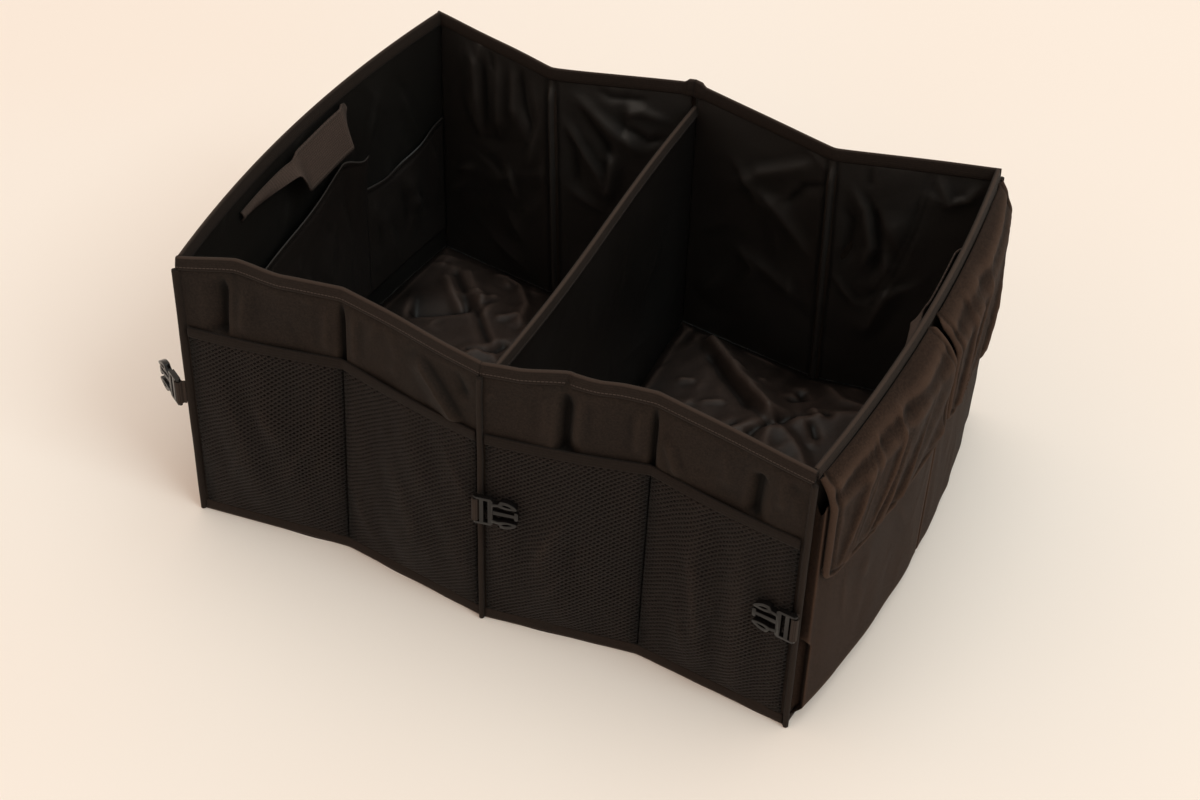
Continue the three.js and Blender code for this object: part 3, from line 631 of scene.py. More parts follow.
def rounded_u(inner: float, outer: float, low: float, top: float, thick: float) -> List[Tuple[float, float]]:
    """Section of a tape folded over an edge, with a round top.

    Args:
        inner: outward distance of its inner face.
        outer: outward distance of its outer face.
        low: height of its lower edges.
        top: height of its top.
        thick: thickness of the tape.

    Returns:
        Points of (outward, height) in order round the section.
    """
    tip_share, rise = 0.62, 1.7
    flank, inner_flank, swell = 7.5, 8.2, 0.25
    middle = (inner + outer) / 2
    tip = (outer - inner) / 2 * tip_share
    turns = np.linspace(0, math.pi, 9)
    crown = [(middle + tip * math.cos(t), top - rise + rise * math.sin(t)) for t in turns]
    under = [
        (middle + (tip - thick) * math.cos(t), top - rise + (rise - thick * 0.9) * math.sin(t))
        for t in turns[::-1]
    ]
    heights = np.linspace(low, top - flank, 4)
    left_side = [(outer + swell * math.sin(math.pi * i / 3), float(z)) for i, z in enumerate(heights)]
    right_side = [(inner - swell * math.sin(math.pi * i / 3), float(z)) for i, z in enumerate(heights)]
    return (
        left_side + crown + right_side[::-1]
        + [(inner + thick, low), (inner + thick, top - inner_flank)] + under
        + [(outer - thick, top - inner_flank), (outer - thick, low)]
    )


# Finishes


class Coordinates(Enum):
    """What a cloth's pattern follows."""

    UV = "UV"
    OBJECT = "Object"


def socket(group: bpy.types.NodeTree, name: str, way: str, kind: str, value=None) -> None:
    """Add one input or output to a node group."""
    made = group.interface.new_socket(name=name, in_out=way, socket_type=kind)
    if value is not None:
        made.default_value = value


class Tree:
    """Short calls for a node tree."""

    def __init__(self, tree: bpy.types.NodeTree) -> None:
        """Keep the tree."""
        self.tree = tree

    def add(self, kind: str, values: Dict = None, **settings) -> bpy.types.Node:
        """Add a node.

        Args:
            kind: the node's type name.
            values: input name or number to a value, or to a socket to link from.
            settings: attributes of the node.

        Returns:
            The new node.
        """
        node = self.tree.nodes.new(kind)
        for key, value in settings.items():
            setattr(node, key, value)
        for key, value in (values or {}).items():
            if isinstance(value, bpy.types.NodeSocket):
                self.tree.links.new(value, node.inputs[key])
            else:
                node.inputs[key].default_value = value
        return node

    def math(self, operation: str, *values) -> bpy.types.NodeSocket:
        """Add a Math node and return its result."""
        return self.add("ShaderNodeMath", dict(enumerate(values)), operation=operation).outputs[0]

    def millimetres(self, length) -> bpy.types.NodeSocket:
        """Turn a length in metres into millimetres."""
        return self.math("MULTIPLY", length, 1 / MM)

    def blend(self, share, a, b) -> bpy.types.NodeSocket:
        """Mix two colours by a share."""
        node = self.add("ShaderNodeMix", data_type="RGBA")
        for name, value in (("Factor", share), ("A", a), ("B", b)):
            target = [s for s in node.inputs if s.name == name and (name == "Factor" or s.type == "RGBA")][0]
            if isinstance(value, bpy.types.NodeSocket):
                self.tree.links.new(value, target)
            else:
                target.default_value = value
        return [s for s in node.outputs if s.type == "RGBA"][0]

    def span(self, value, low: float, high: float, to_low: float = 0.0, to_high: float = 1.0):
        """Map a value's range to another, clamped."""
        made = self.add(
            "ShaderNodeMapRange",
            {"Value": value, "From Min": low, "From Max": high, "To Min": to_low, "To Max": to_high},
        )
        return made.outputs["Result"]


def start_group(
    name: str, inputs: Sequence[Tuple], outputs: Sequence[Tuple]
) -> Tuple[Tree, Dict, bpy.types.Node]:
    """Begin a node group.

    Args:
        name: the group's name.
        inputs: (name, socket type, value or None) of each input.
        outputs: (name, socket type) of each output.

    Returns:
        The tree, its input sockets by name, and its output node.
    """
    group = bpy.data.node_groups.new(name, "ShaderNodeTree")
    for label, kind, value in inputs:
        socket(group, label, "INPUT", kind, value)
    for label, kind in outputs:
        socket(group, label, "OUTPUT", kind)
    tree = Tree(group)
    source = tree.add("NodeGroupInput")
    return tree, {o.name: o for o in source.outputs if o.name}, tree.add("NodeGroupOutput")


FLOAT = "NodeSocketFloat"
VECTOR = "NodeSocketVector"


def weave_group() -> bpy.types.NodeTree:
    """Plain weave of two yarns: height 0 to 1, from a vector in metres and a pitch in millimetres."""
    tree, given, out = start_group(
        "plain_weave",
        [("Vector", VECTOR, None), ("Pitch", FLOAT, 0.6), ("Aspect", FLOAT, 1.0)],
        [("Height", FLOAT)],
    )
    scale = tree.math("DIVIDE", 1000 * math.pi, given["Pitch"])
    xyz = tree.add("ShaderNodeSeparateXYZ", {0: given["Vector"]}).outputs
    x = tree.math("MULTIPLY", xyz["X"], scale)
    y = tree.math("MULTIPLY", tree.math("MULTIPLY", xyz["Y"], scale), given["Aspect"])
    warp = tree.math("ABSOLUTE", tree.math("SINE", x))
    weft = tree.math("ABSOLUTE", tree.math("SINE", y))
    over = tree.math("MULTIPLY", tree.math("COSINE", x), tree.math("COSINE", y))
    pick = tree.span(over, -0.3, 0.3)
    mixed = tree.math("ADD", tree.math("MULTIPLY", warp, pick),
                      tree.math("MULTIPLY", weft, tree.math("SUBTRACT", 1.0, pick)))
    tree.tree.links.new(mixed, out.inputs["Height"])
    return tree.tree


def variation_group() -> bpy.types.NodeTree:
    """Slow change of tone over a piece: a share 0 to 1 from object coordinates."""
    tree, given, out = start_group(
        "slow_variation",
        [("Vector", VECTOR, None), ("Scale", FLOAT, 9.0)],
        [("Share", FLOAT), ("Speckle", FLOAT)],
    )
    place, scale = given["Vector"], given["Scale"]
    broad = tree.add("ShaderNodeTexNoise", {"Vector": place, "Scale": scale, "Detail": 4.0})
    fine_scale = tree.math("MULTIPLY", scale, 60.0)
    fine = tree.add("ShaderNodeTexNoise", {"Vector": place, "Scale": fine_scale, "Detail": 2.0})
    tree.tree.links.new(tree.span(broad.outputs[0], 0.3, 0.7), out.inputs["Share"])
    tree.tree.links.new(tree.span(fine.outputs[0], 0.35, 0.65), out.inputs["Speckle"])
    return tree.tree


def stitch_group() -> bpy.types.NodeTree:
    """A row of stitches along U at a height of V, both in metres: a mask 0 to 1."""
    tree, given, out = start_group(
        "stitch_row",
        [("Vector", VECTOR, None), ("Row", FLOAT, 3.0), ("Length", FLOAT, 3.2), ("Width", FLOAT, 0.7)],
        [("Mask", FLOAT)],
    )
    xyz = tree.add("ShaderNodeSeparateXYZ", {0: given["Vector"]}).outputs
    along = tree.math("DIVIDE", tree.millimetres(xyz["X"]), given["Length"])
    dash = tree.math("ABSOLUTE", tree.math("SUBTRACT", tree.math("FRACT", along), 0.5))
    inside = tree.span(dash, 0.42, 0.34)
    offset = tree.math("ABSOLUTE", tree.math("SUBTRACT", tree.millimetres(xyz["Y"]), given["Row"]))
    near = tree.span(tree.math("DIVIDE", offset, given["Width"]), 1.0, 0.45)
    tree.tree.links.new(tree.math("MULTIPLY", inside, near), out.inputs["Mask"])
    return tree.tree


def knit_group() -> bpy.types.NodeTree:
    """Net of slanting yarns: cover 0 in its holes and 1 on its yarn, and the yarn's height."""
    tree, given, out = start_group(
        "open_knit",
        [("Vector", VECTOR, None), ("Width", FLOAT, 6.4), ("Rows", FLOAT, 4.7), ("Sway", FLOAT, 0.9)],
        [("Cover", FLOAT), ("Height", FLOAT)],
    )
    xyz = tree.add("ShaderNodeSeparateXYZ", {0: given["Vector"]}).outputs
    noise = tree.add("ShaderNodeTexNoise", {"Vector": given["Vector"], "Scale": 16.0, "Detail": 1.0})
    lift = tree.math("MULTIPLY", tree.math("SUBTRACT", noise.outputs[0], 0.5), given["Sway"])
    u = tree.math("DIVIDE", tree.millimetres(xyz["X"]), given["Width"])
    v = tree.math("ADD", tree.math("DIVIDE", tree.millimetres(xyz["Z"]), given["Rows"]), lift)
    covers = []
    for operation, thick in (("SUBTRACT", 0.50), ("ADD", 0.30)):
        phase = tree.math("FRACT", tree.math("ADD", tree.math(operation, v, u), 1000.0))
        far = tree.math("MULTIPLY", tree.math("ABSOLUTE", tree.math("SUBTRACT", phase, 0.5)), 2.0)
        covers.append((tree.span(far, thick + 0.10, thick - 0.10), tree.span(far, thick, 0.0)))
    cover = tree.math("MAXIMUM", covers[0][0], covers[1][0])
    height = tree.math("MAXIMUM", covers[0][1], tree.math("MULTIPLY", covers[1][1], 0.7))
    tree.tree.links.new(cover, out.inputs["Cover"])
    tree.tree.links.new(height, out.inputs["Height"])
    return tree.tree


@dataclass(frozen=True)
class Cloth:
    """A woven or knitted finish. Colours are linear, and lengths are in millimetres.

    rows are the heights of stitches along V. fade gives the cloth's width, its length or nothing, and the
    reach of its painted shade towards the edges, in metres. lighten is how far crests turn to their light
    colour as a painted highlight, and edge is where along V a tape gets a painted highlight on its crown,
    which also stands for rubbed wear. veil is how much the holes of a net still cover, in the gap colour that
    paints the shade of the cloth behind the net.
    """

    name: str
    color: Color
    light: Color
    roughness: Pair = (0.75, 0.9)
    pitch: float = 0.7
    aspect: float = 1.0
    depth: float = 0.12
    sheen: float = 0.02
    specular: float = 0.12
    coordinates: Coordinates = Coordinates.UV
    rows: Tuple[float, ...] = ()
    thread: Color = (0.06, 0.045, 0.038)
    net: bool = False
    # Colour of a net's holes: painted shade of the cloth behind the net
    gap: Color = (0.0030, 0.0022, 0.0018)
    veil: float = 0.8
    fade: Tuple[float, ...] = ()
    lighten: float = 0.42
    edge: float = 0.0

    def shade(self, tree: Tree, uv: bpy.types.NodeSocket, share: bpy.types.NodeSocket, color):
        """Darken a colour towards the cloth's edges, where less light falls.

        Args:
            tree: the material's tree.
            uv: the place on the cloth, in metres.
            share: slow variation, which makes the dark edge uneven.
            color: the colour to darken.

        Returns:
            The darkened colour.
        """
        dark_share, unevenness = 0.22, 0.8
        width, length, reach = self.fade
        xyz = tree.add("ShaderNodeSeparateXYZ", {0: uv}).outputs
        near = tree.math("MINIMUM", xyz["X"], tree.math("SUBTRACT", width, xyz["X"]))
        if length:
            ends = tree.math("MINIMUM", xyz["Y"], tree.math("SUBTRACT", length, xyz["Y"]))
            near = tree.math("MINIMUM", near, ends)
        uneven = tree.math("MULTIPLY", tree.math("SUBTRACT", share, 0.5), reach * unevenness)
        near = tree.math("ADD", near, uneven)
        dark = tuple(c * dark_share for c in self.color)
        return tree.blend(tree.span(near, 0.0, reach), (*dark, 1), color)

    def wear_and_highlight(self, tree: Tree, uv: bpy.types.NodeSocket, color):
        """Lighten a colour along a line of a tape, as a painted highlight on its crown that also stands for
        rubbed wear.

        Args:
            tree: the material's tree.
            uv: the place on the tape, in metres.
            color: the colour to lighten.

        Returns:
            The lightened colour.
        """
        light_share, most = 2.3, 0.7
        faint, full = 2.4, 0.8
        around = tree.add("ShaderNodeSeparateXYZ", {0: uv}).outputs["Y"]
        far = tree.math("ABSOLUTE", tree.math("SUBTRACT", tree.millimetres(around), self.edge))
        # Painted highlight along the crown, which also stands for rubbed wear
        worn_highlight = tuple(c * light_share for c in self.light)
        return tree.blend(tree.span(far, faint, full, 0.0, most), color, (*worn_highlight, 1))

    def paint_fold_shade_and_highlight(self, tree: Tree, color):
        """Paint shade into a colour in folds and a highlight on crests, by the depths that sheet() writes.

        Args:
            tree: the material's tree.
            color: the colour to change.

        Returns:
            The changed colour.
        """
        fold_shade_share, fold_depth, fold_most = 0.18, 1.6, 0.82
        crest_share, crest_height = 2.2, 1.5
        flat = 0.05
        hollow = tree.add("ShaderNodeAttribute", attribute_name="hollow").outputs["Fac"]
        # Dark copy of the colour for painted shade in folds, light copy for painted highlight on crests
        fold = tuple(c * fold_shade_share for c in self.color)
        crest = tuple(min(1.0, c * crest_share) for c in self.light)
        color = tree.blend(tree.span(hollow, flat, fold_depth, 0.0, fold_most), color, (*fold, 1))
        return tree.blend(tree.span(hollow, -flat, -crest_height, 0.0, self.lighten), color, (*crest, 1))

    def make(self, groups: Dict[str, bpy.types.NodeTree]) -> bpy.types.Material:
        """Build the material.

        Args:
            groups: the shared node groups by name.

        Returns:
            The material.
        """
        material = bpy.data.materials.new(self.name)
        material.use_nodes = True
        tree = Tree(material.node_tree)
        shader = material.node_tree.nodes["Principled BSDF"]
        coords = tree.add("ShaderNodeTexCoord").outputs
        pattern = coords[self.coordinates.value]
        slow = tree.add("ShaderNodeGroup", {}, node_tree=groups["variation"])
        tree.tree.links.new(coords["Object"], slow.inputs["Vector"])
        weave = tree.add("ShaderNodeGroup", {}, node_tree=groups["weave"])
        tree.tree.links.new(pattern, weave.inputs["Vector"])
        weave.inputs["Pitch"].default_value = self.pitch
        weave.inputs["Aspect"].default_value = self.aspect
        height = weave.outputs["Height"]
        tone = tree.math("ADD", tree.math("MULTIPLY", slow.outputs["Share"], 0.4),
                         tree.math("MULTIPLY", slow.outputs["Speckle"], 0.6))
        color = tree.blend(tone, (*self.color, 1), (*self.light, 1))
        deep = tuple(c * 0.6 for c in self.color)
        color = tree.blend(tree.span(height, 0.0, 0.7), (*deep, 1), color)
        for row in self.rows:
            stitch = tree.add("ShaderNodeGroup", {"Row": row}, node_tree=groups["stitch"])
            tree.tree.links.new(coords["UV"], stitch.inputs["Vector"])
            color = tree.blend(stitch.outputs["Mask"], color, (*self.thread, 1))
            height = tree.math("ADD", height, tree.math("MULTIPLY", stitch.outputs["Mask"], 3.0))
        if self.net:
            knit = tree.add("ShaderNodeGroup", {}, node_tree=groups["knit"])
            tree.tree.links.new(coords["Object"], knit.inputs["Vector"])
            # The holes keep part of their cover in the gap colour, a painted shade of the cloth behind the
            # net
            alpha = tree.span(knit.outputs["Cover"], 0.0, 1.0, self.veil, 1.0)
            tree.tree.links.new(alpha, shader.inputs["Alpha"])
            color = tree.blend(knit.outputs["Cover"], (*self.gap, 1), color)
            height = tree.math("ADD", height, tree.math("MULTIPLY", knit.outputs["Height"], 4.0))
        # Painted highlight along a tape's crown, which also stands for rubbed wear
        if self.edge:
            color = self.wear_and_highlight(tree, coords["UV"], color)
        if self.fade:
            color = self.shade(tree, coords["UV"], slow.outputs["Share"], color)
        # Painted shade in folds and painted highlight on crests
        color = self.paint_fold_shade_and_highlight(tree, color)
        tree.tree.links.new(color, shader.inputs["Base Color"])
        rough = tree.span(slow.outputs["Share"], 0.0, 1.0, *self.roughness)
        tree.tree.links.new(rough, shader.inputs["Roughness"])
        bump = tree.add("ShaderNodeBump", {"Height": height, "Distance": self.depth * MM, "Strength": 0.8})
        tree.tree.links.new(bump.outputs["Normal"], shader.inputs["Normal"])
        shader.inputs["Sheen Weight"].default_value = self.sheen
        shader.inputs["Sheen Roughness"].default_value = 0.45
        shader.inputs["Specular IOR Level"].default_value = self.specular
        return material


def satin(
    name: str, color: Color, light: Color, roughness: Pair, specular: float, **more
) -> Cloth:
    """A smooth cloth of fine yarns, which reflects more than a matt weave."""
    return Cloth(name, color, light, roughness, pitch=0.4, depth=0.03, sheen=0.0, specular=specular, **more)


@dataclass(frozen=True)
class Plastic:
    """Moulded plastic with a fine spark-eroded grain and slightly rubbed edges."""

    name: str
    color: Color
    roughness: Pair = (0.15, 0.25)
    specular: float = 0.32
    grain: float = 0.04

    def make(self, groups: Dict[str, bpy.types.NodeTree]) -> bpy.types.Material:
        """Build the material from the shared groups."""
        material = bpy.data.materials.new(self.name)
        material.use_nodes = True
        tree = Tree(material.node_tree)
        shader = material.node_tree.nodes["Principled BSDF"]
        coords = tree.add("ShaderNodeTexCoord").outputs
        rubbed = 1.8
        slow = tree.add("ShaderNodeGroup", {"Scale": 40.0}, node_tree=groups["variation"])
        tree.tree.links.new(coords["Object"], slow.inputs["Vector"])
        lighter = tuple(c * rubbed for c in self.color)
        color = tree.blend(slow.outputs["Share"], (*self.color, 1), (*lighter, 1))
        tree.tree.links.new(color, shader.inputs["Base Color"])
        rough = tree.span(slow.outputs["Share"], 0.0, 1.0, *self.roughness)
        tree.tree.links.new(rough, shader.inputs["Roughness"])
        relief = {"Height": slow.outputs["Speckle"], "Distance": self.grain * MM, "Strength": 0.5}
        bump = tree.add("ShaderNodeBump", relief)
        tree.tree.links.new(bump.outputs["Normal"], shader.inputs["Normal"])
        shader.inputs["Specular IOR Level"].default_value = self.specular
        return material


class Finishes:
    """Every finish of the organizer, made once."""

    def __init__(self) -> None:
        """Build the shared groups and the materials."""
        groups = {
            "weave": weave_group(),
            "variation": variation_group(),
            "stitch": stitch_group(),
            "knit": knit_group(),
        }
        self.outer = Cloth(
            "outer_cloth", (0.0080, 0.0052, 0.0037), (0.0240, 0.0162, 0.0119), (0.7, 0.85), lighten=0.14
        ).make(groups)
        self.side = Cloth(
            "side_cloth", (0.0115, 0.0066, 0.0045), (0.0385, 0.0230, 0.0158), (0.75, 0.9), specular=0.06
        ).make(groups)
        self.lining = satin(
            "satin_lining", (0.0138, 0.0120, 0.0108), (0.0222, 0.0196, 0.0178), (0.30, 0.42), 0.60,
            lighten=0.28,
        ).make(groups)
        # The end walls' lining: the satin lining darkened as painted shade for the ends' inner faces
        self.end_lining_painted_shade = satin(
            "end_lining_painted_shade", (0.0074, 0.0066, 0.0058), (0.0118, 0.0106, 0.0094), (0.30, 0.42), 0.46
        ).make(groups)
        self.divider = satin(
            "divider_satin", (0.0052, 0.0041, 0.0036), (0.0080, 0.0064, 0.0056), (0.36, 0.48), 0.30
        ).make(groups)
        self.pocket_lining = satin(
            "pocket_lining", (0.0100, 0.0078, 0.0068), (0.0165, 0.0128, 0.0110), (0.36, 0.48), 0.30,
            lighten=0.08,
        ).make(groups)
        # The floor's fade paints shade towards its edges, along the walls
        self.floor = satin(
            "satin_floor", (0.0295, 0.0193, 0.0155), (0.0450, 0.0302, 0.0243), (0.46, 0.58), 0.20,
            fade=(0.300, 0.470, 0.075),
        ).make(groups)
        self.binding = Cloth(
            "binding", (0.0130, 0.0085, 0.0062), (0.0235, 0.0156, 0.0120), (0.7, 0.85),
            pitch=1.1, aspect=0.5, depth=0.25, rows=(3.4,),
        ).make(groups)
        # Rim tape, with a painted highlight along its crown that also stands for rubbed wear
        self.rim = Cloth(
            "rim_binding", (0.0115, 0.0075, 0.0055), (0.0210, 0.0140, 0.0107), (0.7, 0.85),
            pitch=1.1, aspect=0.5, depth=0.25, rows=(3.4,), edge=13.6,
        ).make(groups)
        self.elastic = Cloth(
            "elastic_tape", (0.0085, 0.0056, 0.0041), (0.0165, 0.0110, 0.0084), (0.75, 0.9),
            pitch=1.3, aspect=0.5, depth=0.3,
        ).make(groups)
        self.piping = Cloth(
            "piping", (0.0140, 0.0092, 0.0067), (0.0200, 0.0134, 0.0100), (0.7, 0.85), pitch=1.0, depth=0.2
        ).make(groups)
        # The net's fade paints shade along the sides of each pocket, and its gap colour paints the shade
        # behind its holes
        self.mesh = Cloth(
            "mesh", (0.0135, 0.0094, 0.0075), (0.0225, 0.0158, 0.0128), (0.7, 0.85),
            pitch=0.9, depth=0.3, net=True, fade=(0.150, 0.0, 0.013),
        ).make(groups)
        self.webbing = Cloth(
            "webbing", (0.044, 0.0300, 0.0240), (0.066, 0.0460, 0.0375), (0.6, 0.75),
            pitch=3.0, aspect=1.5, depth=0.6, rows=(2.0, 36.0), lighten=0.1,
        ).make(groups)
        self.tab = Cloth(
            "tab_webbing", (0.024, 0.0165, 0.0130), (0.034, 0.0240, 0.0190), (0.6, 0.75),
            pitch=1.4, depth=0.3, coordinates=Coordinates.OBJECT,
        ).make(groups)
        self.strip = Cloth(
            "fastener_tape", (0.010, 0.0085, 0.0075), (0.018, 0.0150, 0.0135), (0.8, 0.95),
            pitch=1.3, depth=0.6, coordinates=Coordinates.OBJECT,
        ).make(groups)
        self.plastic = Plastic("buckle_plastic", (0.0034, 0.0029, 0.0027)).make(groups)


def dress(piece: bpy.types.Object, material: bpy.types.Material, slot: str, *nodes: str) -> bpy.types.Object:
    """Give a piece its finish and hide the nodes that it stands for."""
    piece.data.materials.clear()
    piece.data.materials.append(material)
    if nodes:
        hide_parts(*nodes)
    log.info("made %s", piece.name)
    return piece


def declare(piece: bpy.types.Object, margin: float = 1.004) -> None:
    """Log the size that a sheet of cloth has when it is laid flat.

    Args:
        piece: a piece made by sheet().
        margin: cut size over the modelled lengths, for the seams.
    """
    width, length, area = FLAT[piece.name]
    width, length = width * margin, length * margin
    log.info("flat %s %.3f x %.3f m, %.4f m2", piece.name, width, length, area)


# Sub-assemblies


@dataclass
class Walls:
    """Outer cloth and satin lining of the four walls. Both end at top, under the rim tape."""

    finishes: Finishes
    step: float = 3.0
    lining_step: float = 2.6
    front_share: float = 0.6
    back_share: float = 1.1
    outer_thickness: float = 3.0
    groove_thinning: float = 2.2
    lining_thickness: float = 0.6
    lining_foot: float = 3.0
    pillow: float = 1.4
    groove: float = 7.5
    groove_width: float = 2.5
    top: float = 290.5
    rim_margin: float = 3.0
    rim_run: float = 26.0
    slack: float = 1.4

    def creased(self, wall: LongWall, creases: Sequence[Crease], x: Array, z: Array) -> Array:
        """Relief of the folds and the middle groove of a long wall, which eases in below the rim."""
        groove = self.groove * np.exp(-(((x - wall.middle) / self.groove_width) ** 2))
        return (folded(creases, x, z) - groove) * ease((self.top - self.rim_margin - z) / self.rim_run)

    def dip(self, wall: LongWall, creases: Sequence[Crease], x: Array, z: Array) -> Array:
        """How far the folds of a long wall push its lining in, below nothing."""
        return np.minimum(self.creased(wall, creases, x, z) + self.slack, 0)

    def long_outer(self, name: str, wall: LongWall, seed: int, nodes: Tuple[str, str],
                   creases: Sequence[Crease]) -> None:
        """Make the outer cloth of half a long wall."""
        drape = Ripples(seed, 3, 36.0, 110.0, 3.4, 0.15, 0.9)
        low, high = sorted((0.0, wall.corner))
        fine = Wrinkles(seed + 7, 10, (low, 230.0), (high, 300.0), (20, 60), (0.6, 1.8), (6, 12), spread=0.5)

        def surface(u: Array, v: Array) -> Array:
            """Point of the outer cloth."""
            s, z = 2 * u, v * self.top
            x = wall.plan(s)
            under = ease((self.top - 2 - z) / 9)
            fill = self.pillow * np.abs(np.sin(math.pi * s)) * np.sin(math.pi * v)
            wave = drape.at(u * wall.span, z) * np.abs(np.sin(math.pi * s)) ** 0.5
            relief = (wave + fine.at(x, z)) * under + self.creased(wall, creases, x, z)
            return wall.place(s, fill + relief, z)

        def thickness(u: Array, v: Array) -> Array:
            """Thickness of the outer cloth, less at the groove."""
            near = (wall.plan(2 * u) - wall.middle) / (self.groove_width * 1.3)
            return self.outer_thickness - self.groove_thinning * np.exp(-(near ** 2)) + 0 * v

        step = self.step * (self.front_share if wall.side < 0 else self.back_share)
        piece = sheet(f"outer_cloth_{name}", surface, (wall.span, SIZES.height), step, thickness,
                      turn=not wall.mirrored)
        dress(piece, self.finishes.outer, "outer_cloth", *nodes)

    def long_lining(self, name: str, wall: LongWall, seed: int, outside: Sequence[Crease],
                    creases: Sequence[Crease]) -> None:
        """Make the satin lining of half a long wall."""
        broad = Ripples(seed, 6, 60.0, 190.0, 4.5, 0.5, 2.4, 0.6)
        side = math.copysign(1.0, wall.corner)
        low, high = sorted((8.0 * side, 290.0 * side))
        folds = Wrinkles(seed + 3, 26, (low, 30.0), (high, 280.0), (40, 130), (1.5, 4.5), (8, 20))
        fine = Ripples(seed + 50, 6, 20.0, 60.0, 1.2, 0.9, 1.6, 1.8)

        def surface(u: Array, v: Array) -> Array:
            """Point of the lining."""
            s, z = 0.02 + 1.965 * u, self.lining_foot + v * (self.top - self.lining_foot)
            x = wall.plan(s)
            hold = np.abs(np.sin(math.pi * s)) ** 0.45 * np.sin(math.pi * v) ** 0.3
            wave = (broad.at(u * wall.span, z) + fine.at(u * wall.span, z) + folds.at(x, z)
                    + folded(creases, x, z)) * hold
            push = self.dip(wall, outside, x, z)
            return wall.place(s, -SIZES.wall - wave + push - seam(x - wall.middle), z)

        piece = sheet(f"lining_{name}", surface, (wall.span, SIZES.height), self.lining_step,
                      self.lining_thickness, turn=wall.mirrored)
        dress(piece, self.finishes.lining, "lining")
        declare(piece)

    def end(self, name: str, wall: EndWall, seed: int, node: str) -> None:
        """Make the outer cloth and the lining of an end wall."""
        reach = SIZES.half_depth - 3.0
        drape = Ripples(seed, 7, 50.0, 160.0, 1.6, 0.2, 1.4)
        broad = Ripples(seed + 20, 6, 60.0, 180.0, 3.2, 0.3, 2.0, 0.6)
        folds = Wrinkles(seed + 3, 34, (-225.0, 30.0), (225.0, 285.0), (40, 130), (1.0, 3.4), (8, 20))

        def outside(u: Array, v: Array) -> Array:
            """Point of the outer cloth."""
            y, z = lerp(-reach, reach, u), v * self.top
            hold = np.sin(math.pi * u) ** 0.5 * np.sin(math.pi * v) ** 0.5
            return wall.place(y, drape.at(u * SIZES.depth, z) * hold, z)

        def inside(u: Array, v: Array) -> Array:
            """Point of the lining."""
            y, z = lerp(-reach, reach, u), self.lining_foot + v * (self.top - self.lining_foot)
            hold = np.sin(math.pi * u) ** 0.5 * np.sin(math.pi * v) ** 0.5
            above_pockets = 1 + 1.1 * ease((z - 212) / 24)
            wave = (broad.at(u * SIZES.depth, z) * 0.5 + folds.at(y, z)) * hold * above_pockets
            return wall.place(y, -SIZES.wall - wave * 0.8, z)

        cloth = sheet(f"outer_cloth_{name}", outside, (SIZES.depth, SIZES.height), self.step + 0.4,
                      self.outer_thickness, turn=wall.side < 0)
        dress(cloth, self.finishes.outer, "outer_cloth", node)
        lining = sheet(f"lining_{name}", inside, (SIZES.depth, SIZES.height), self.step,
                       self.lining_thickness, turn=wall.side > 0)
        # The end linings wear the satin lining darkened as painted shade
        dress(lining, self.finishes.end_lining_painted_shade, "lining")
        declare(lining)

    def build(self) -> None:
        """Make all the walls."""
        halves = (
            ("front_left", FRONT_LEFT, 11, ("front_panel_1", "front_panel_2"), FRONT_LEFT_FOLDS, ()),
            ("front_right", FRONT_RIGHT, 12, ("front_panel_3", "front_panel_4"), FRONT_RIGHT_FOLDS, ()),
            ("back_left", BACK_LEFT, 13, ("back_panel_1", "back_panel_2"), (), BACK_LEFT_FOLDS),
            ("back_right", BACK_RIGHT, 14, ("back_panel_3", "back_panel_4"), (), BACK_RIGHT_FOLDS),
        )
        for name, wall, seed, nodes, outside, inside in halves:
            self.long_outer(name, wall, seed, nodes, outside)
            self.long_lining(name, wall, seed + 30, outside, inside)
        self.end("left_end", LEFT_END, 15, "left_end_panel")
        self.end("right_end", RIGHT_END, 16, "right_end_panel")


@dataclass
class Divider:
    """The divider and its bound top edge."""

    finishes: Finishes
    front_y: float = -234.0
    back_y: float = 231.2

    def x(self, y: Array) -> Array:
        """Middle of the divider along its length, in millimetres."""
        share = (y - self.front_y) / (self.back_y - self.front_y)
        return lerp(SIZES.divider_front[0], SIZES.divider_back[0], share) + 2.0 * np.sin(share * math.pi * 2)

    def top(self, y: Array) -> Array:
        """Height of the top edge."""
        share = (y - self.front_y) / (self.back_y - self.front_y)
        return lerp(SIZES.divider_front[1], SIZES.divider_back[1], share) - 2.0 * np.sin(share * math.pi)

    def place(self, y: Array, out: Array, z: Array) -> Array:
        """Point of the divider; z is a height on a divider of the body's full height."""
        return points(self.x(y) + out, y, z - (SIZES.height - self.top(y)) * (z / SIZES.height) ** 2)

    def build(self) -> None:
        """Make the cloth of both faces and the tape."""
        length = self.back_y - self.front_y
        for name, side, seed in (("left", -1, 71), ("right", 1, 72)):
            broad = Ripples(seed, 6, 70.0, 200.0, 2.4, 0.4, 2.2, 0.4)
            folds = Wrinkles(seed + 9, 22, (-225.0, 30.0), (225.0, 270.0), (50, 150), (0.8, 2.6), (10, 24))

            def surface(u: Array, v: Array, side=side, broad=broad, folds=folds) -> Array:
                """Point of one face of the divider."""
                y, z = lerp(self.front_y, self.back_y, u), v * (SIZES.height - 9)
                hold = np.sin(math.pi * u) ** 0.5 * np.sin(math.pi * v) ** 0.5
                wave = (broad.at(u * length, z) + folds.at(y, z)) * hold
                return self.place(y, side * (2.0 + wave), z)

            piece = sheet(f"divider_cloth_{name}", surface, (length, SIZES.height), 3.6, 1.8, turn=side < 0)
            nodes = ("divider_panel",) if side < 0 else ()
            dress(piece, self.finishes.divider, "lining", *nodes)
            declare(piece)
        section = rounded_u(-3.6, 3.6, SIZES.height - SIZES.rim_tape, SIZES.height, SIZES.tape)
        binding = tape("divider_binding", section, self.place, self.front_y - 3, self.back_y + 1, 150, length)
        dress(binding, self.finishes.rim, "binding", "rim_divider")


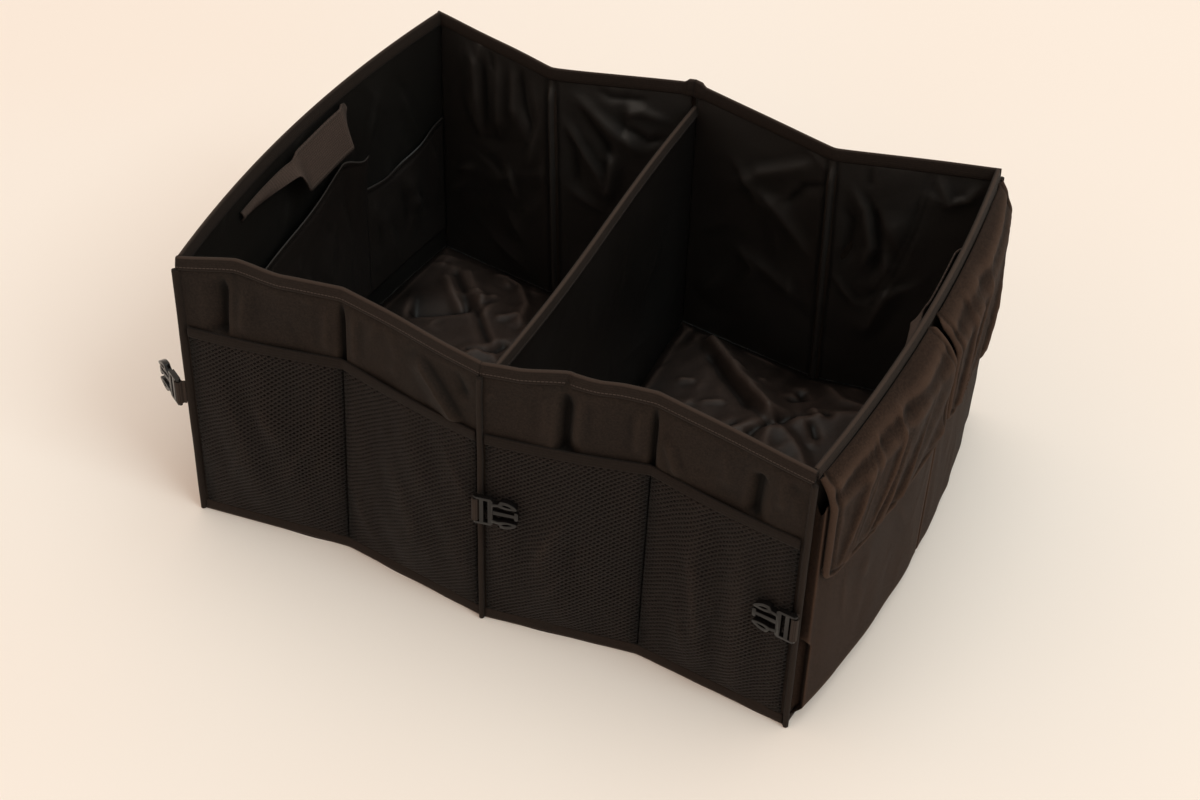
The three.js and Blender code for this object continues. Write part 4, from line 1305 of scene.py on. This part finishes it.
@dataclass
class Edges:
    """Bound rims, piping and hem tapes."""

    finishes: Finishes
    wave: float = 1.0
    notch_x: float = 74.0
    notch_width: float = 3.4
    notch_in: float = 2.6
    notch_down: float = 1.6
    ear_start: float = 1.925
    ear_run: float = 0.03
    ear_out: float = 0.3
    ear_up: float = 3.6
    ear_height: float = 8.0
    piping_end: float = 287.0
    lip: float = 6.4

    def rim_section(self) -> List[Tuple[float, float]]:
        """Section of the rim's folded tape."""
        inner = -SIZES.wall - SIZES.gap - SIZES.tape
        outer = SIZES.gap + SIZES.tape
        return rounded_u(inner, outer, SIZES.height - SIZES.rim_tape, SIZES.height, SIZES.tape)

    def rims(self) -> None:
        """Make the six rim tapes."""
        for number, (name, wall) in enumerate(LONG_WALLS):
            sway = Ripples(200 + number, 3, 50.0, 130.0, 2.2)

            def place(s: Array, out: Array, z: Array, wall=wall, sway=sway) -> Array:
                """Point of the rim tape, with its sway, its notch and its ear."""
                along = s * wall.span / 2
                lift = self.wave - sway.at(along, along * 0)
                if wall is FRONT_RIGHT:
                    notch = np.exp(-(((wall.plan(s) - self.notch_x) / self.notch_width) ** 2))
                    out = out - self.notch_in * notch
                    lift = lift - self.notch_down * notch
                if wall.side > 0:
                    ear = ease((s - self.ear_start) / self.ear_run)
                    out = out * (1 + self.ear_out * ear)
                    lift = lift + self.ear_up * ear * (z > SIZES.height - self.ear_height)
                return wall.place(s, out, z) + points(0, 0, lift)

            piece = tape(f"rim_binding_{name}", self.rim_section(), place, -0.006, 1.999, 130, wall.span,
                         turn=wall.mirrored)
            dress(piece, self.finishes.rim, "binding", f"rim_{name}")
        for name, wall in END_WALLS:
            reach = SIZES.half_depth - 4.6
            piece = tape(f"rim_binding_{name}", self.rim_section(), wall.place, -reach, reach, 150, 2 * reach,
                         turn=wall.side > 0)
            dress(piece, self.finishes.rim, "binding", f"rim_{name}")

    def hems(self) -> None:
        """Make the hem tapes round the bottom."""
        section = [(0.2, 0.6), (1.7, 0.5), (2.4, 1.4), (2.3, 6.0), (2.2, 11.2), (1.6, 12.2), (0.2, 12.3)]
        for name, wall in LONG_WALLS:
            piece = tape(f"hem_{name}_cloth", section, wall.place, 0.012, 1.985, 110, wall.span,
                         turn=wall.mirrored)
            dress(piece, self.finishes.binding, "binding", f"hem_{name}")
        low = [(0.2, 0.6), (1.7, 0.5), (2.3, 1.2), (2.2, 6.2), (1.6, 7.0), (0.2, 7.0)]
        reach = 233.5
        for name, wall in END_WALLS:
            piece = tape(f"hem_{name}_cloth", low, wall.place, -reach, reach, 90, SIZES.depth,
                         turn=wall.side > 0)
            dress(piece, self.finishes.binding, "binding", f"hem_{name}")

    def pipings(self) -> None:
        """Make the piping down the corners and the centre seams."""
        clear = SIZES.piping + SIZES.gap
        reach = clear / math.sqrt(2)
        start = 1.0
        x, y = SIZES.half_width + reach, SIZES.half_depth + reach
        places = {
            "corner_piping_front_left": (-x, -y),
            "corner_piping_front_right": (x, -y),
            "corner_piping_back_left": (-x, y),
            "corner_piping_back_right": (x, y),
            "center_piping_front": (FRONT_LEFT.seam_x, -SIZES.half_depth - FRONT_LEFT.seam_bulge - clear),
            "center_piping_back": (BACK_LEFT.seam_x, SIZES.half_depth + clear),
        }
        for number, (node, (px, py)) in enumerate(places.items()):
            sway = Ripples(300 + number, 4, 40.0, 110.0, 1.4)
            side_x = 0.0 if node.startswith("center") else math.copysign(1.0, px)
            inward = math.atan2(-math.copysign(1.0, py), -side_x)
            turns = inward + np.linspace(0.5 * math.pi, 1.5 * math.pi, 11)
            section = [(SIZES.piping * math.cos(t), SIZES.piping * math.sin(t)) for t in turns]
            for spread in (-0.16, 0.16):
                section.append((self.lip * math.cos(inward + spread), self.lip * math.sin(inward + spread)))

            def place(z: Array, a: Array, b: Array, px=px, py=py, sway=sway) -> Array:
                """Point of the piping, which sways a little."""
                shift = sway.at(z, z * 0) - 0.7
                return points(px + a + shift * 0.5, py + b, z)

            piece = tape(f"{node}_cord", section, place, start, self.piping_end, 96, self.piping_end - start,
                         turn=True)
            dress(piece, self.finishes.piping, "binding", node)

    def build(self) -> None:
        """Make all the edges."""
        self.rims()
        self.hems()
        self.pipings()


@dataclass
class MeshPockets:
    """Four net pockets on the front and the elastic tapes over their mouths."""

    finishes: Finishes
    width: float = 150.0
    height: float = 214.0
    bulge: float = 8.0
    bulge_start: float = 70.0
    hem: float = 11.0
    margin: float = 4.5
    tape_height: float = 10.5
    pulled_from: float = 120.0
    pulled_run: float = 92.0
    pulled_share: float = 0.4

    def standoff(self, s: Array, z: Array) -> Array:
        """How far the net stands off the wall."""
        across = np.abs(np.sin(math.pi * np.where(s < 1, s, s - 1))) ** 0.9
        up = np.clip((z - self.hem) / (self.bulge_start - self.hem), 0, 1)
        pulled = lerp(1.0, self.pulled_share, ease((z - self.pulled_from) / self.pulled_run))
        return 1.6 + self.bulge * across * np.sin(up * math.pi / 2) * pulled

    def pocket(self, number: int, wall: LongWall, half: int) -> None:
        """Make one pocket."""
        edge = self.margin / self.width
        start, end = (edge, 0.996) if half == 0 else (1.004, 2 - edge)
        low = self.hem + 1.2
        drape = Ripples(400 + number, 3, 34.0, 80.0, 7.0, 0.15, 0.6)
        folds = Wrinkles(420 + number, 9, (10.0, 20.0), (140.0, 200.0), (60, 150), (1.0, 3.2), (10, 22),
                         math.pi / 2, 0.5)

        def surface(u: Array, v: Array) -> Array:
            """Point of the net."""
            s, z = lerp(start, end, u), lerp(low, self.height + 1, v)
            wave = drape.at(u * self.width, z) + folds.at(u * self.width, z)
            wave = wave * np.sin(math.pi * u) ** 0.6 * np.sin(math.pi * v) ** 0.5
            return wall.place(s, self.standoff(s, z) + wave, z)

        size = (self.width, self.height - low)
        piece = sheet(f"net_{number}", surface, size, 3.0, 0.7, turn=not wall.mirrored)
        dress(piece, self.finishes.mesh, "mesh", f"mesh_pocket_{number}")
        declare(piece)

    def mouth(self, name: str, wall: LongWall) -> None:
        """Make the elastic tape over two pockets."""
        top = self.height + self.tape_height
        section = [
            (-0.3, self.height), (1.2, self.height - 0.3), (1.9, self.height + 1.0), (2.1, self.height + 6.0),
            (1.9, top - 1.0), (1.1, top + 0.3), (-0.1, top), (-0.3, self.height + 6.0),
        ]

        def place(s: Array, out: Array, z: Array) -> Array:
            """Point of the elastic tape, as far out as the net."""
            return wall.place(s, out + self.standoff(s, z), z)

        piece = tape(f"pocket_mouth_{name}", section, place, 0.03, 1.97, 120, wall.span, turn=wall.mirrored)
        dress(piece, self.finishes.elastic, "binding", f"mesh_pocket_tape_{name}")

    def build(self) -> None:
        """Make the pockets and their mouths."""
        self.pocket(1, FRONT_LEFT, 0)
        self.pocket(2, FRONT_LEFT, 1)
        self.pocket(3, FRONT_RIGHT, 1)
        self.pocket(4, FRONT_RIGHT, 0)
        self.mouth("left", FRONT_LEFT)
        self.mouth("right", FRONT_RIGHT)


@dataclass
class Floors:
    """Satin over the folded floor boards, crumpled where it was creased."""

    finishes: Finishes
    divider: Divider
    rise: float = 30.0
    ridge: float = 0.37
    thickness: float = 2.0
    margin: float = 5.2
    reach: float = 233.0

    def relief(self, x: Array, y: Array, across: Array, along: Array, seed: int,
               creases: Sequence[Crease]) -> Array:
        """Height of the cloth over the ground, in millimetres."""
        roof = np.minimum(1 - np.abs(across), (1 - np.abs(along)) / (1 - self.ridge))
        blunt, blunt_width = 0.10, 0.16
        calm, edge_run, foot = 0.12, 0.08, 3.2
        roof = self.rise * (roof - blunt * np.exp(-((roof - 1) / blunt_width) ** 2))
        crumple = Crumple(seed, 7, 6.0, 120.0).at(x, y) + Crumple(seed + 1, 7, 3.2, 42.0).at(x, y)
        low, high = (x.min(), y.min()), (x.max(), y.max())
        strokes = Wrinkles(seed + 2, 70, low, high, (16, 60), (1.2, 3.6), (5, 12), 0.0, math.pi)
        edge = ease((1 - np.maximum(np.abs(across), np.abs(along))) / edge_run)
        form = crumple + strokes.at(x, y) + folded(creases, x, y)
        return foot + np.maximum(roof + form * (calm + (1 - calm) * edge), 0)

    def build(self) -> None:
        """Make both floors."""
        sides = (("left", LEFT_END, 81, FLOOR_LEFT_FOLDS), ("right", RIGHT_END, 86, FLOOR_RIGHT_FOLDS))
        for name, end, seed, creases in sides:

            def surface(u: Array, v: Array, end=end, seed=seed, creases=creases) -> Array:
                """Point of the floor's cloth."""
                across, along = 2 * u - 1, 2 * v - 1
                middle = along * self.reach
                outer = end.side * (end.face(middle, 0) - self.margin)
                inner = self.divider.x(middle) + end.side * 2.6
                x = lerp(outer, inner, u)
                fronts = self.wall_face(FRONT_LEFT, FRONT_RIGHT, x)
                backs = self.wall_face(BACK_LEFT, BACK_RIGHT, x)
                y = lerp(-fronts + self.margin, backs - self.margin, v)
                return points(x, y, self.relief(x, y, across, along, seed, creases))

            piece = sheet(f"floor_cloth_{name}", surface, (300.0, 470.0), 2.3, self.thickness,
                          turn=end.side > 0)
            dress(piece, self.finishes.floor, "lining", f"{name}_floor")
            declare(piece)

    @staticmethod
    def face(wall: LongWall, x: Array) -> Array:
        """Outer face of a long wall at the ground, at a place along X."""
        first = (x - wall.corner) / (wall.middle - wall.corner)
        second = 1 + (x - wall.middle) / (wall.seam_x - wall.middle)
        return wall.face(np.where(first < 1, first, second), np.zeros(x.shape))

    def wall_face(self, left: LongWall, right: LongWall, x: Array) -> Array:
        """Outer face of the front or the back at the ground, over both of its halves."""
        return np.where(x < left.seam_x, self.face(left, x), self.face(right, x))


@dataclass
class SidePockets:
    """Two bellows pockets on the right end, with their flaps.

    gusset is the share of a pocket's sheet that turns back at each end. The fold values are how far a gusset
    is folded in at its foot, at the pinch and at its top. under_flap is the share by which the waves calm
    down where a flap lies over them.
    """

    finishes: Finishes
    cloth: float = 1.2
    gusset: float = 0.10
    fold_low: float = 6.5
    fold_pinched: float = 1.2
    fold_top: float = 4.5
    pinch_run: float = 9.0
    under_flap: float = 0.97
    end: float = 231.0
    corner_depth: float = 11.5
    center_depth: float = 24.0
    bottom: float = 8.0
    pinch: float = 98.0
    lean: float = 4.5
    dip: float = 13.0
    top: float = 262.0
    center_gap: float = 1.8
    flap_end: float = 234.0
    flap_gap: float = 2.5
    flap_bottom: float = 174.0
    flap_top: float = 291.0
    shoulder: float = 257.0
    clearance: float = 3.2
    corner_radius: float = 20.0
    top_radius: float = 9.0
    fan_folds: int = 15
    pull_beside: float = 12.0
    pull_height: float = 90.0
    flap_size: float = 130.0
    flap_cloth: float = 1.8

    def depth(self, y: Array) -> Array:
        """Outward depth of the pockets at a place along Y."""
        return lerp(self.corner_depth, self.center_depth, 1 - (y / self.end) ** 2)

    def pocket(self, name: str, low: float, high: float, seed: int) -> None:
        """Make one pocket's front, gussets and bottom from one sheet that turns at its corners."""
        length = high - low + 2 * self.center_depth
        drape = Ripples(seed, 3, 30.0, 90.0, 5.0, 0.3, 0.6, 0.3)
        folds = Wrinkles(seed + 4, 14, (low, 20.0), (high, 160.0), (40, 120), (0.8, 2.6), (10, 20),
                         math.pi / 2, 0.6)

        half = self.gusset / 2

        def surface(u: Array, v: Array) -> Array:
            """Point of the pocket's sheet."""
            near = np.minimum(u, 1 - u)
            tuck = np.clip(1 - np.abs(near - half) / half, 0, 1)
            out = 0.02 + 0.98 * np.clip(near / self.gusset, 0, 1)
            z = lerp(self.bottom, self.top, v) - self.dip * tuck ** 0.8 * v ** 8
            upper = ease((z - self.pinch) / self.pinch_run)
            above = (z - self.pinch) / (self.top - self.pinch)
            fold = lerp(self.fold_low, lerp(self.fold_pinched, self.fold_top, above), upper)
            way = np.where(u < 0.5, 1.0, -1.0)
            corner = np.where(np.where(u < 0.5, abs(low), abs(high)) > 100.0, 1.0, 0.0)
            lean = self.lean * upper * corner * np.clip(near / half, 0, 1) * ease((0.16 - near) / 0.06)
            y = lerp(low, high, np.clip((u - self.gusset) / 0.80, 0, 1)) + way * (tuck * fold - lean)
            face = ease((u - self.gusset) / 0.08) * ease((0.90 - u) / 0.08)
            wave = (drape.at(u * length, z * 0.4) + folds.at(y, z)) * face * (0.35 + 0.65 * v)
            under = 1 - self.under_flap * ease((z - self.flap_bottom + 8.0) / 14.0)
            reach = out * (self.depth(np.clip(y, low, high)) * (0.25 + 0.75 * ease(v / 0.05)))
            across = np.clip(y, -SIZES.half_depth, SIZES.half_depth)
            return RIGHT_END.place(across, SIZES.gap + reach + wave * 0.8 * under, z)

        size = (length, self.top - self.bottom)
        piece = sheet(f"pocket_cloth_{name}", surface, size, 2.6, self.cloth)
        dress(piece, self.finishes.side, "outer_cloth", f"side_pocket_{name}")
        declare(piece)

    def flap_out(self, y: Array, z: Array) -> Array:
        """Outward distance of the flap's inner face."""
        fall = np.clip((self.flap_top - z) / (self.flap_top - self.shoulder), 0, 1)
        return lerp(2.0, self.depth(y) + self.clearance, np.sin(fall * math.pi / 2))

    def flap(self, name: str, low: float, high: float, seed: int) -> None:
        """Make one flap with a hemmed edge and rounded corners."""
        drape = Ripples(seed, 3, 30.0, 70.0, 4.5, 0.0, 0.3, 0.4)
        fine = Ripples(seed + 5, 4, 10.0, 24.0, 0.7, 0.3, 0.9, 0.5)
        draw = np.random.default_rng(seed + 9)
        fan = [
            (draw.uniform(0.02, 1.35), draw.uniform(0.010, 0.032), draw.uniform(2.0, 5.0),
             draw.uniform(70, 210), draw.uniform(-0.25, 0.25))
            for _ in range(self.fan_folds)
        ]
        pull_y, pull_z = low - self.pull_beside, self.pull_height
        center_low = name == "rear"
        tip, reach = 0.003, 75

        def outline(u: Array, v: Array) -> Tuple[Array, Array]:
            """Place of the flap's cloth along Y and Z, with its corners rounded."""
            y, z = lerp(low, high, u), lerp(self.flap_bottom, self.flap_top, v)
            from_low, from_high = y - low, high - y
            for near, sign in ((from_low, 1), (from_high, -1)):
                r = self.corner_radius
                inside = np.clip(r - near, 0, r)
                lift = r - np.sqrt(np.maximum(r * r - inside * inside, 0))
                z = np.maximum(z, self.flap_bottom) + lift * (1 - v) ** 3
                center = (sign > 0) == center_low
                t = self.top_radius if center else 1.0
                inside_top = np.clip(t - near, 0, t)
                z = z - (t - np.sqrt(np.maximum(t * t - inside_top * inside_top, 0))) * v ** 3
            return y, z

        def surface(u: Array, v: Array) -> Array:
            """Point of the flap's outer face."""
            y, z = outline(u, v)
            hem = np.minimum(np.minimum(u, 1 - u) * (high - low), v * (self.flap_top - self.flap_bottom))
            welt = 1.4 * np.exp(-((hem - 4.2) / 2.4) ** 2)
            stitches = 1.6 * np.exp(-((hem - 9.0) / 1.9) ** 2)
            rounding = 1.2 * np.clip(1 - hem / 2.2, 0, 1)
            ridge = welt - stitches - rounding
            hold = ease(hem / 14) * ease((1 - v) / 0.12)
            turn = np.arctan2(y - pull_y, z - pull_z)
            far = np.hypot(y - pull_y, z - pull_z)
            wave = drape.at(turn * 230, far * 0.3) * (0.6 + far / 600) + fine.at(y, z)
            for angle, width, rise, middle_far, bend in fan:
                away = np.abs(turn - angle - bend * (far - middle_far) / 200)
                away = np.sqrt(away ** 2 + tip ** 2) - tip
                wave = wave + rise * np.exp(-away / width) * np.exp(-(((far - middle_far) / reach) ** 2))
            wave = wave * hold
            drop = self.flap_top - z
            bands = 2.6 * np.sin(drop / 4.4 + 0.8 * np.sin(y / 31.0)) * np.exp(-(((drop - 15) / 15) ** 2))
            return RIGHT_END.place(y, self.flap_out(y, z) + 1.8 + ridge + wave + bands * hold ** 0.5, z)

        size = (high - low, self.flap_size)
        piece = sheet(f"flap_cloth_{name}", surface, size, 2.0, self.flap_cloth, body="")
        dress(piece, self.finishes.side, "outer_cloth", f"flap_{name}")
        declare(piece)
        middle = (low + high) / 2
        x = float(RIGHT_END.face(middle, self.flap_top)) + 2.0
        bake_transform(piece)

    def build(self) -> None:
        """Make the pockets and the flaps."""
        self.pocket("front", -self.end, -self.center_gap, 501)
        self.pocket("rear", self.center_gap, self.end, 502)
        self.flap("front", -self.flap_end, -self.flap_gap, 511)
        self.flap("rear", self.flap_gap, self.flap_end, 512)


@dataclass
class InnerFittings:
    """Webbing handles and slip pockets inside the ends."""

    finishes: Finishes
    handle_top: float = 285.0
    handle_height: float = 38.0
    strap_hem: float = 5.0
    slip_foot: float = 32.0

    def handle(self, name: str, wall: EndWall, start: float, end: float, standoff: float) -> None:
        """Make one strap, sewn down at its ends, with a flat middle and pinched runs down to the seams."""
        narrow, wide = 0.28, 1.08
        tail_end, tail_run, tail_drop = 0.41, 0.09, 8
        back = 2.6

        def surface(u: Array, v: Array) -> Array:
            """Point of the strap."""
            y, z = lerp(start, end, u), lerp(self.handle_top - self.handle_height, self.handle_top, v)
            rise = ease(u / 0.50) * ease((1 - u) / 0.10)
            pinch = lerp(narrow, wide, ease((u - tail_end) / tail_run) * ease((1 - u) / 0.05))
            hem = self.handle_top - self.strap_hem
            z = hem + (z - hem) * pinch - tail_drop * (1 - ease(u / 0.45)) + 0.8 * np.sin(u * 9)
            cup = 3.4 * (1 - rise) * np.sin(math.pi * v) + 2.0 * np.exp(-((u - 0.45) / 0.04) ** 2)
            out = -SIZES.wall - back - standoff * rise + standoff * rise * (v - 0.5) - cup
            return wall.place(y, out, z)

        piece = sheet(f"handle_strap_{name}", surface, (end - start, self.handle_height), 2.4, 1.6,
                      turn=wall.side > 0)
        dress(piece, self.finishes.webbing, "webbing", f"handle_{name}")
        declare(piece)

    def slip(
        self, name: str, start: float, end: float, hems: Pair, sag: float, corner: float, seed: int
    ) -> None:
        """Make one slip pocket with a hem that hangs away from the wall.

        Args:
            name: front or rear.
            start: where it starts along Y.
            end: where it ends along Y.
            hems: heights of its hem at the start and at the end.
            sag: how far the hem hangs away from the wall.
            corner: share by which its last corner is turned over.
            seed: seed of its folds.
        """
        drape = Ripples(seed, 6, 40.0, 110.0, 3.4, 0.2, 1.0, 0.6)
        low, high = (start, 40.0), (end, hems[0] - 30.0)
        folds = Wrinkles(seed + 5, 26, low, high, (40, 130), (2.0, 6.0), (8, 18), 1.9, 0.5)
        tall = max(hems) - self.slip_foot
        roll, roll_place, roll_width = 1.0, 2.0, 1.6
        stitch_depth, stitch_place = 0.8, 8.0
        turned_in, turned_along, turned_down = 13.0, 8.0, 10.0

        def surface(u: Array, v: Array) -> Array:
            """Point of the slip pocket."""
            hem = lerp(hems[0], hems[1], ease((u - 0.3) / 0.6))
            y, z = lerp(start, end, u), lerp(self.slip_foot, hem, v)
            across = np.sin(math.pi * u)
            down = (1 - v) * tall
            wave = (drape.at(y, z) + folds.at(y, z)) * across ** 0.6 * v ** 0.6 * ease(down / 16)
            hemline = roll * np.exp(-((down - roll_place) / roll_width) ** 2)
            hemline = hemline - stitch_depth * np.exp(-((down - stitch_place) / roll_width) ** 2)
            sway = 2.5 * np.sin(u * 11.0) * v ** 4 * across
            turned = corner * ease((u - 0.86) / 0.12) * v ** 3
            out = -SIZES.wall - 3.4 - sag * across ** 0.8 * v ** 1.5 - wave - hemline - sway
            up = z - 5.0 * across * v ** 2 - turned_down * turned
            return LEFT_END.place(y - turned_along * turned, out - turned_in * turned, up)

        piece = sheet(f"slip_pocket_{name}", surface, (end - start, tall), 2.6, 1.0)
        dress(piece, self.finishes.pocket_lining, "lining", f"inner_pocket_{name}")
        declare(piece)

    def build(self) -> None:
        """Make the handles and the slip pockets."""
        self.handle("left", LEFT_END, -125.0, 66.0, 14.0)
        self.handle("right", RIGHT_END, -66.0, 125.0, 9.0)
        self.slip("front", -228.0, 89.7, (205.0, 226.0), 12.0, 1.0, 601)
        self.slip("rear", 90.0, 228.0, (165.0, 178.0), 3.0, 0.0, 602)


@dataclass
class Hardware:
    """Buckle plugs and their tabs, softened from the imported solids."""

    finishes: Finishes
    edge: float = 0.55

    def softened(self, node: str, name: str, body: str, width: float) -> bpy.types.Object:
        """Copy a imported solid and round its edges."""
        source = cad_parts[node]
        mesh = source.data.copy()
        piece = bpy.data.objects.new(name, mesh)
        bpy.context.scene.collection.objects.link(piece)
        bpy.ops.object.select_all(action="DESELECT")
        bpy.context.view_layer.objects.active = piece
        piece.select_set(True)
        bpy.ops.object.mode_set(mode="EDIT")
        bpy.ops.mesh.select_all(action="SELECT")
        bpy.ops.mesh.remove_doubles(threshold=1e-6)
        bpy.ops.mesh.dissolve_limited(angle_limit=math.radians(3))
        bpy.ops.object.mode_set(mode="OBJECT")
        bevel = piece.modifiers.new("edge", "BEVEL")
        bevel.width = width * MM
        bevel.segments = 2
        bevel.limit_method = "ANGLE"
        bevel.angle_limit = math.radians(35)
        bpy.ops.object.modifier_apply(modifier=bevel.name)
        bpy.ops.object.shade_smooth_by_angle(angle=math.radians(40))
        piece.select_set(False)
        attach(piece, body)
        return piece

    def build(self) -> None:
        """Dress the plugs, the tabs and the fastener strips."""
        for side in ("left", "center", "right"):
            plug = self.softened(f"buckle_plug_{side}", f"plug_{side}_moulding", f"plug_{side}", self.edge)
            dress(plug, self.finishes.plastic, "buckle", f"buckle_plug_{side}")
            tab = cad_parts[f"webbing_tab_{side}"]
            tab.data.materials.clear()
            tab.data.materials.append(self.finishes.tab)
        for kind in ("loop", "hook"):
            for end in ("front", "rear"):
                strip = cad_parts[f"{kind}_strip_{end}"]
                strip.data.materials.clear()
                strip.data.materials.append(self.finishes.strip)


# Camera, light and ground


@dataclass(frozen=True)
class Studio:
    """The viewpoint of the photograph, a pale ground and soft light."""

    azimuth: float = 24.42
    elevation: float = 40.68
    distance: float = 2.028
    roll: float = 2.07
    target: Tuple[float, float, float] = (0.03011, -0.05829, 0.130)
    lens: float = 65.16
    ground: Color = (0.90, 0.86, 0.81)
    warmth: Color = (1.0, 0.97, 0.95)
    reach: float = 6.0
    ambient: Color = (0.74, 0.55, 0.435)
    backdrop: Color = (0.92, 0.815, 0.70)
    aim: Tuple[float, float, float] = (0.05, 0.0, 0.15)

    def camera(self) -> None:
        """Place the camera."""
        azimuth, elevation, roll = (math.radians(a) for a in (self.azimuth, self.elevation, self.roll))
        back = Vector((math.sin(azimuth) * math.cos(elevation), -math.cos(azimuth) * math.cos(elevation),
                       math.sin(elevation)))
        right = (-back).cross(Vector((0, 0, 1))).normalized()
        up = right.cross(-back)
        x_axis = right * math.cos(roll) + up * math.sin(roll)
        y_axis = up * math.cos(roll) - right * math.sin(roll)
        data = bpy.data.cameras.new("camera")
        data.lens = self.lens
        data.sensor_width = 36.0
        data.clip_end = 50.0
        camera = bpy.data.objects.new("camera", data)
        place = Matrix((x_axis, y_axis, back)).transposed().to_4x4()
        place.translation = Vector(self.target) + back * self.distance
        camera.matrix_world = place
        bpy.context.scene.collection.objects.link(camera)
        bpy.context.scene.camera = camera

    def lamp(self, name: str, place: Tuple[float, float, float], size: float, power: float,
             color: Color) -> None:
        """Add a square lamp that faces the object."""
        data = bpy.data.lights.new(name, "AREA")
        data.size = size
        data.energy = power
        data.color = color
        lamp = bpy.data.objects.new(name, data)
        lamp.location = place
        lamp.rotation_euler = (Vector(self.aim) - Vector(place)).to_track_quat("-Z", "Y").to_euler()
        bpy.context.scene.collection.objects.link(lamp)

    def surroundings(self) -> None:
        """Make the ground and the world."""
        mesh = bpy.data.meshes.new("ground")
        corners = [(x * self.reach, y * self.reach, 0) for x, y in ((-1, -1), (1, -1), (1, 1), (-1, 1))]
        mesh.from_pydata(corners, [], [(0, 1, 2, 3)])
        ground = bpy.data.objects.new("ground", mesh)
        bpy.context.scene.collection.objects.link(ground)
        material = bpy.data.materials.new("ground")
        material.use_nodes = True
        tree = Tree(material.node_tree)
        shader = material.node_tree.nodes["Principled BSDF"]
        coords = tree.add("ShaderNodeTexCoord").outputs
        tone = tree.add("ShaderNodeTexNoise", {"Vector": coords["Object"], "Scale": 0.9, "Detail": 2.0})
        warm = tuple(tint * share for tint, share in zip(self.ground, self.warmth))
        color = tree.blend(tree.span(tone.outputs[0], 0.35, 0.65), (*self.ground, 1), (*warm, 1))
        tree.tree.links.new(color, shader.inputs["Base Color"])
        shader.inputs["Roughness"].default_value = 0.9
        shader.inputs["Specular IOR Level"].default_value = 0.1
        mesh.materials.append(material)
        world = bpy.data.worlds.new("world")
        bpy.context.scene.world = world
        world.use_nodes = True
        nodes = Tree(world.node_tree)
        background = world.node_tree.nodes["Background"]
        path = nodes.add("ShaderNodeLightPath").outputs
        seen = nodes.math("MAXIMUM", path["Is Camera Ray"], path["Is Glossy Ray"])
        color = nodes.blend(seen, (*self.ambient, 1), (*self.backdrop, 1))
        nodes.tree.links.new(color, background.inputs["Color"])

    def build(self) -> None:
        """Set up the whole studio."""
        bpy.context.scene.view_settings.view_transform = "Standard"
        self.camera()
        self.surroundings()
        self.lamp("key", (9.0, -2.5, 10.4), 6.0, 575.0, (0.74, 0.94, 0.99))
        self.lamp("fill", (-2.4, -4.6, 3.2), 4.0, 24.0, (0.92, 0.96, 0.96))
        self.lamp("top", (1.0, 1.0, 8.6), 7.0, 235.0, (0.74, 0.95, 1.0))


def main() -> None:
    """Build the organizer and its studio."""
    logging.basicConfig(level=logging.INFO, format="%(message)s")
    Studio().build()
    finishes = Finishes()
    divider = Divider(finishes)
    for assembly in (
        Walls(finishes), divider, Edges(finishes), MeshPockets(finishes), Floors(finishes, divider),
        SidePockets(finishes), InnerFittings(finishes), Hardware(finishes),
    ):
        assembly.build()
    bpy.context.view_layer.update()


if __name__ == "__main__":
    main()
